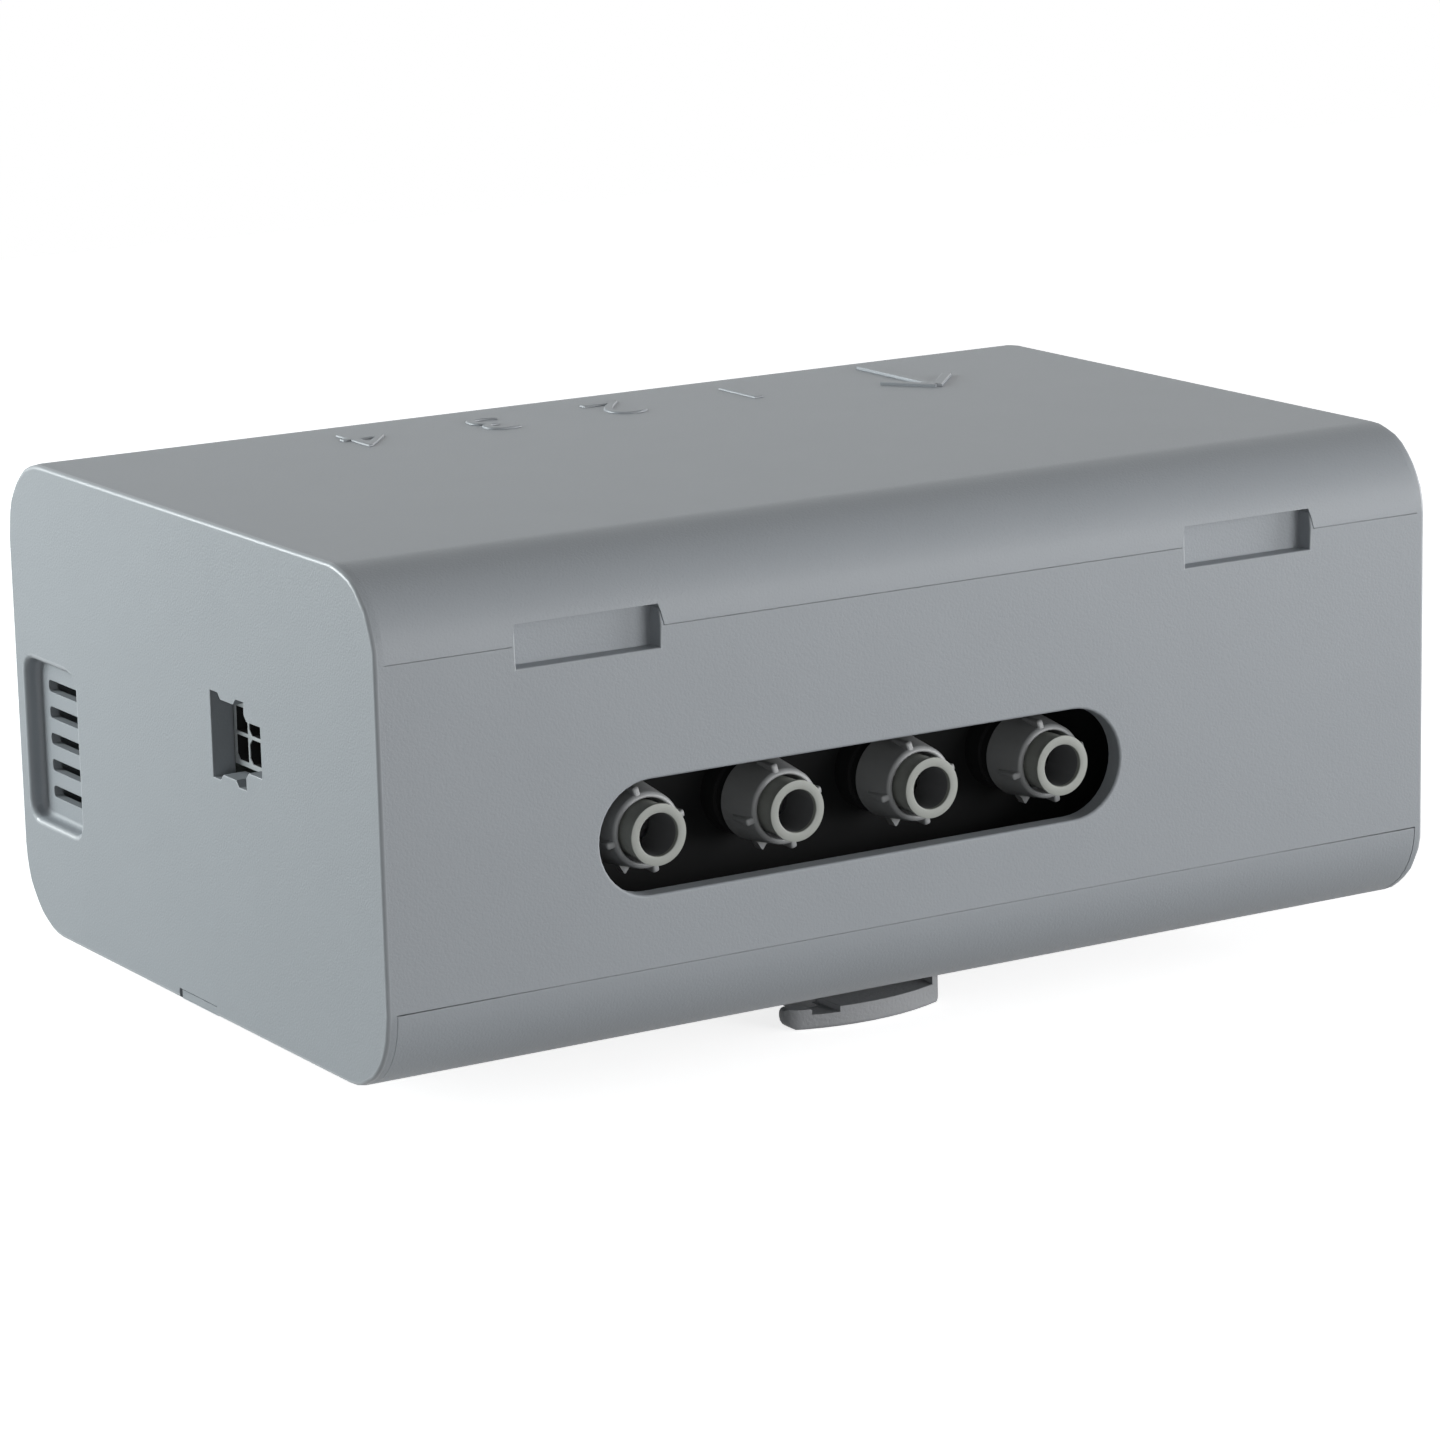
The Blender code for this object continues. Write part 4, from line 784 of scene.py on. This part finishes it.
def make_fitting(name, place):
    fitting = turn_section(name, fitting_section, place)
    ribs = add_teeth(place) + [add_keel(place, KEEL_TURN)]
    start_fresh()
    for piece in [fitting] + ribs:
        piece.select_set(True)
    bpy.context.view_layer.objects.active = fitting
    bpy.ops.object.join()

    def painted_shade_behind_cone(face):
        return face.calc_center_median().y - place.y > (RIM + CONE) * MM

    wear(fitting, fitting_acetal)
    # Behind the cone the barrel is painted black as shade
    wear_inside(fitting, black_nylon_and_painted_shade, painted_shade_behind_cone)
    smooth(fitting, 40)
    return fitting


fittings = repeat_along_ports(make_fitting("port_1_barrel", PORT_PLACES[0]), "_barrel")
for port, fitting in zip(PORT_NAMES, fittings):
    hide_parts(port + "_fitting")
    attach(fitting, "housing")
print("fittings:", [len(fitting.data.polygons) for fitting in fittings], "faces")

# %% [markdown]
# ## Release collets
#
# The collet is the light ring in each port. Pressed in, it opens the teeth that hold the tube. On
# the real part it is a split sleeve with a flat face, and only the face and a little of its neck
# show. Past its first millimetre the bore is painted dark grey as shade; steel teeth and a black
# seal wait further in for the tube. It is spun from its section as the barrel is, and copied along
# the row. Each copy rides on its own body, because it moves.

# %% Collets
PAINTED_SHADE_DEPTH = 1.3
collet_section = [(3.15, 8.6), (3.15, PAINTED_SHADE_DEPTH), (3.15, 0.8)]
collet_section += quarter((3.3, 0.75), 0.15, 180, 270, 3)
collet_section += quarter((4.4, 0.7), 0.1, -90, 0, 2)
collet_section += [(4.5, 1.1), (4.4, 1.25), (4.15, 1.4), (4.15, 8.6), (3.15, 8.6)]


def painted_shade_in_bore(face):
    spot = face.calc_center_median() - PORT_PLACES[0]
    return math.hypot(spot.x, spot.z) < 3.2 * MM and spot.y > PAINTED_SHADE_DEPTH * MM


first_collet = turn_section("port_1_release_ring", collet_section, PORT_PLACES[0])
wear(first_collet, collet_acetal)
# Deep in the bore the acetal is painted dark grey as shade
wear_inside(first_collet, painted_shade_acetal, painted_shade_in_bore)
smooth(first_collet, 40)
collets = repeat_along_ports(first_collet, "_release_ring")
for number, collet in enumerate(collets, start=1):
    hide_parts(f"port_{number}_collet")
    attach(collet, f"collet_{number}")
print("collets:", [len(collet.data.polygons) for collet in collets], "faces")

# %% [markdown]
# ## Header
#
# The plug's counterpart is a two by two header. Its frame is light grey, and black is painted
# inside its pockets as shade. Two finishes on one piece are set face by face: the piece gets two
# material slots, and the faces that lie inside the frame are picked and assigned to the second.

# %% Header with pockets painted black as shade
header = take_over("power_header", "plug_header")
soften(header, 0.15 * MM, lambda spot, along: near(spot.x, header_low.x))
wear(header, header_nylon)
header_reach = (header_high - header_low) / 2


def pocket_faces_in_painted_shade(face):
    spot = face.calc_center_median() - header_middle
    within = abs(spot.y) < header_reach.y - 0.1 * MM and abs(spot.z) < header_reach.z - 0.1 * MM
    return within and spot.x > 0.3 * MM - header_reach.x


# Inside the pockets black is painted as shade
painted_shade_faces = wear_inside(header, black_nylon_and_painted_shade, pocket_faces_in_painted_shade)
smooth(header)
print("header faces in black:", painted_shade_faces)

# %% [markdown]
# ## Rail clip
#
# The latch is the tab under the front edge. It is pulled with a finger or with a screwdriver in its
# notch. Its edges are handled, so they have larger radii than the box has.

# %% Latch with rounded edges
latch = take_over("rail_clip_latch", "latch_tab")
GRIP_BACK = latch_low.y + 5.2 * MM
GRIP_TOP = 3.2 * MM
WEB_SIDE = 11.45 * MM
WEB_OUT, WEB_BACK = 0.63 * MM, 0.8 * MM


def on_web(corner):
    """Whether a corner is on the side of the web behind the grip."""
    return near(corner.co.x, WEB_SIDE) and corner.co.y > GRIP_BACK - 0.1 * MM


open_piece(latch)
choose(latch, "VERT", on_web)
bpy.ops.transform.translate(value=(WEB_OUT, 0, 0))
choose(latch, "VERT", lambda corner: near(corner.co.y, GRIP_BACK) and corner.co.x > 11.9 * MM)
bpy.ops.transform.translate(value=(0, WEB_BACK, 0))
close_piece()


def on_grip(spot, along, level):
    return near(spot.z, level) and abs(along.z) < 0.3 and spot.y < GRIP_BACK


rounded_edges = [
    soften(latch, 0.60 * MM, lambda spot, along: on_grip(spot, along, 0), 4),
    soften(latch, 0.20 * MM, lambda spot, along: on_grip(spot, along, GRIP_TOP)),
]
smooth(latch)
wear(latch, clip_nylon)
print("latch edges rounded, by kind:", rounded_edges)

# %% [markdown]
# ## Raised marks on the cover
#
# The cover carries the plain digits 1 to 4 behind their ports and an arrow, all raised by about
# half a millimetre, because they are cut into the mould. They read from the back of the unit. A
# digit is a text object with a thickness and a round bevel, turned into a mesh. The arrow is three
# bars joined by a Boolean. Their tops wear the cover's finish, and their rounded sides the smoother
# one, whose paler colour is a painted highlight.

# %% Digits
COVER_TOP = cover_high.z
MARK_RISE = 0.24 * MM
DIGIT_HEIGHT = 11 * MM
DIGIT_CORE = 0.03 * MM
DIGIT_THINNING = 0.2 * MM
# Places on the cover, in metres
DIGIT_Y = 0.0355
DIGIT_PLACES = {"1": 0.0273, "2": 0.0041, "3": -0.0184, "4": -0.0403}


def on_side_of_mark(face):
    return face.normal.z < 0.95


def make_digit(digit, x):
    start_fresh()
    bpy.ops.object.text_add(location=(0, 0, 0))
    mark = bpy.context.object
    mark.name = "cover_digit_" + digit
    mark.data.body = digit
    mark.data.align_x = "CENTER"
    mark.data.align_y = "CENTER"
    mark.data.size = 15 * MM
    mark.data.extrude = DIGIT_CORE
    mark.data.offset = -DIGIT_THINNING
    mark.data.bevel_depth = MARK_RISE
    mark.data.bevel_resolution = 2
    mark.data.resolution_u = 6
    bpy.ops.object.convert(target="MESH")
    tall = mark.dimensions.y
    share = DIGIT_HEIGHT / tall
    low = min(corner.co.x for corner in mark.data.vertices)
    high = max(corner.co.x for corner in mark.data.vertices)
    bottom = min(corner.co.y for corner in mark.data.vertices)
    middle = Vector(((low + high) / 2, bottom + tall / 2, 0))
    mark.scale = (share, share, 1)
    mark.rotation_euler = (0, 0, math.pi)
    mark.location = Vector((x, DIGIT_Y, COVER_TOP + DIGIT_CORE)) + middle * share
    bpy.ops.object.transform_apply(location=True, rotation=True, scale=True)
    wear(mark, housing_abs)
    # The mark's rounded sides are painted paler as a highlight
    wear_inside(mark, smooth_abs_painted_highlight, on_side_of_mark)
    smooth(mark, 40)
    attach(mark, "housing")
    return mark


digits = [make_digit(digit, x) for digit, x in DIGIT_PLACES.items()]
print("digits:", [[round(side / MM, 1) for side in mark.dimensions] for mark in digits], "mm")

# %% Arrow
BAR_LIFT = 0.15
BAR_ROOT = 0.4 * MM
BAR_WIDTH = 1.6


def add_bar(start, end, width):
    """A bar of the arrow between two places on the cover in millimetres, from a cube."""
    start_fresh()
    run = Vector((end[0] - start[0], end[1] - start[1], 0))
    middle_x, middle_y = (start[0] + end[0]) / 2, (start[1] + end[1]) / 2
    middle = Vector((middle_x, middle_y, COVER_TOP / MM + BAR_LIFT)) * MM
    size = (run.length * MM, width * MM, MARK_RISE + BAR_ROOT)
    bpy.ops.mesh.primitive_cube_add(size=1, location=middle, scale=size)
    bar = bpy.context.object
    bar.rotation_euler = (0, 0, math.atan2(run.y, run.x))
    bpy.ops.object.transform_apply(location=True, rotation=True, scale=True)
    return bar


ARROW_TIP = (55.4, 21.0)
arrow = add_bar((55.5, 43.8), ARROW_TIP, BAR_WIDTH)
arrow.name = "cover_arrow"
for barb_end in ((62.6, 29.0), (49.8, 28.6)):
    barb = add_bar(barb_end, ARROW_TIP, BAR_WIDTH)
    union = arrow.modifiers.new("barb", "BOOLEAN")
    union.operation = "UNION"
    union.object = barb
    start_fresh()
    bpy.context.view_layer.objects.active = arrow
    arrow.select_set(True)
    bpy.ops.object.modifier_apply(modifier=union.name)
    bpy.data.objects.remove(barb, do_unlink=True)
soften(arrow, 0.15 * MM, lambda spot, along: spot.z > COVER_TOP and abs(along.z) < 0.3)
wear(arrow, housing_abs)
# The arrow's rounded sides are painted paler as a highlight
wear_inside(arrow, smooth_abs_painted_highlight, on_side_of_mark)
smooth(arrow, 40)
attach(arrow, "housing")
print("arrow:", [round(side / MM, 1) for side in arrow.dimensions], "mm")

# %% [markdown]
# ## Pieces inside
#
# Behind the slot lie the manifold, the valves, the pump and the board. They hardly show, so each
# could be left out, but they are there when the cover comes off. Each keeps its solid and gets its
# own finish.

# %% Finishes of the inner pieces
INNER_FINISHES = {
    "manifold_block": black_nylon_and_painted_shade,
    "pump_head": black_nylon_and_painted_shade,
    "pump_motor": motor_steel,
    "pump_hose": hose_silicone,
    "circuit_board": board_mask,
    "rail_clip_plate": clip_nylon,
    "manifold_screw": zinc_steel,
    "clip_screw": zinc_steel,
    "header_pin": tinned_brass,
    "coil": coil_resin,
    "plunger": zinc_steel,
    "grab_ring": zinc_steel,
    "seal": seal_rubber,
}
dressed = 0
for name, node in NODES.items():
    for words, finish in INNER_FINISHES.items():
        if words in name:
            node.material_slots[0].material = finish
            dressed += 1
print("inner solids dressed:", dressed)

# %% [markdown]
# ## Floor, light and camera
#
# The picture is taken in a bright studio on a pale floor. Five soft lamps draw the form. One at the
# left and a little behind lights the end wall, one at the right and one low in front light the port
# face, and a weak one at the front left fills its shadows. The cover also mirrors the white
# surroundings, so a weak lamp behind is enough for it. The rounded edges lie between the lamps and
# stay darker, which shows that they are round. The floor looks white and still takes the shadow.

# %% Floor
FLOOR_SIDE = 1.6


def seen_from(finish):
    """An output that is 1 where the camera sees a surface, also mirrored or through glass."""
    ray = add_node(finish, "ShaderNodeLightPath").outputs
    seen = ray["Is Camera Ray"]
    for kind in ("Is Glossy Ray", "Is Transmission Ray"):
        either = add_node(finish, "ShaderNodeMath", {0: seen, 1: ray[kind]}, operation="MAXIMUM")
        seen = either.outputs[0]
    return seen


start_fresh()
bpy.ops.mesh.primitive_plane_add(size=FLOOR_SIDE, location=(0, 0, 0))
floor = bpy.context.object
floor.name = "studio_floor"
# Painted paper: white to the eye, and a calmer grey where it lights the box from below
paper = new_finish("white_studio_paper")
bright = add_node(paper, "ShaderNodeBsdfDiffuse", {"Color": linear("#e6e6e6")})
glow = add_node(paper, "ShaderNodeEmission", {"Color": (1, 1, 1, 1), "Strength": 0.8})
both = add_node(paper, "ShaderNodeAddShader", {0: bright.outputs[0], 1: glow.outputs[0]})
calm = add_node(paper, "ShaderNodeBsdfDiffuse", {"Color": linear("#808080")})
mixed = add_node(
    paper,
    "ShaderNodeMixShader",
    {0: seen_from(paper), 1: calm.outputs[0], 2: both.outputs[0]},
)
add_node(paper, "ShaderNodeOutputMaterial", {"Surface": mixed.outputs[0]})
floor.data.materials.append(paper)
print("floor", [round(side, 1) for side in floor.dimensions], "m")

# %% Lamps and surroundings
bpy.context.scene.view_settings.view_transform = "Standard"
world = bpy.context.scene.world or bpy.data.worlds.new("studio")
bpy.context.scene.world = world
world.use_nodes = True
world.node_tree.nodes.clear()
# White where it is seen, and only a faint light on the unit
strength = add_node(
    world,
    "ShaderNodeMapRange",
    {"Value": seen_from(world), "To Min": 0.06, "To Max": 1.0},
)
sky = add_node(
    world,
    "ShaderNodeBackground",
    {"Color": (1, 1, 1, 1), "Strength": strength.outputs["Result"]},
)
add_node(world, "ShaderNodeOutputWorld", {"Surface": sky.outputs[0]})

UNIT_MIDDLE = Vector((0, 0, 0.04))


def add_softbox(name, place, size, power, colour=(1, 1, 1)):
    """A rectangular soft lamp that faces the middle of the unit."""
    lamp = bpy.data.lights.new(name, "AREA")
    lamp.shape = "RECTANGLE"
    lamp.size, lamp.size_y = size
    lamp.energy = power
    lamp.color = colour
    holder = bpy.data.objects.new(name, lamp)
    bpy.context.scene.collection.objects.link(holder)
    holder.location = place
    aim = UNIT_MIDDLE - Vector(place)
    holder.rotation_euler = aim.to_track_quat("-Z", "Y").to_euler()
    return holder


softboxes = [
    add_softbox("softbox_behind", (0.74, 0.95, 0.46), (0.9, 0.4), 0.7),
    add_softbox("softbox_front", (0.48, -0.96, 0.15), (0.6, 0.4), 6.0),
    add_softbox("softbox_fill", (-0.7, -1.1, 0.20), (0.6, 0.4), 1.7),
    add_softbox("softbox_right", (1.2, -0.5, 0.2), (0.6, 0.5), 9.8),
    add_softbox("softbox_left", (-0.68, 0.64, 0.31), (0.5, 0.4), 9.7, (0.94, 1.0, 1.0)),
]
print("softboxes:", [holder.name for holder in softboxes])

# %% Camera
# The camera stands where the photograph's did: its turn, height, roll and distance were solved from
# the edges of the box
TURN, RISE, ROLL = (math.radians(angle) for angle in (-31.148, 12.966, -1.365))
DISTANCE, ASIDE, ALOFT = 824.899 * MM, 0.429 * MM, -6.174 * MM
FOCUS = Vector((0, 0, 44.4 * MM))
SENSOR, FOCAL_PIXELS, PICTURE_PIXELS = 36, 5370.63, 1440
back = Vector((math.sin(TURN) * math.cos(RISE), -math.cos(TURN) * math.cos(RISE), math.sin(RISE)))
right = Vector((-back.y, back.x, 0)).normalized()
up = back.cross(right)
place = FOCUS + back * DISTANCE + right * ASIDE + up * ALOFT
rolled_right = right * math.cos(ROLL) + up * math.sin(ROLL)
rolled_up = up * math.cos(ROLL) - right * math.sin(ROLL)
camera = bpy.data.objects.new("studio_camera", bpy.data.cameras.new("studio_camera"))
bpy.context.scene.collection.objects.link(camera)
camera.data.sensor_width = SENSOR
camera.data.lens = SENSOR * FOCAL_PIXELS / PICTURE_PIXELS
camera.data.clip_start = 0.01
camera.data.clip_end = 50
axes = Matrix((rolled_right, rolled_up, back)).transposed()
camera.matrix_world = Matrix.Translation(place) @ axes.to_4x4()
bpy.context.scene.camera = camera
print("lens", round(camera.data.lens, 1), "mm,", round(DISTANCE, 3), "m away")
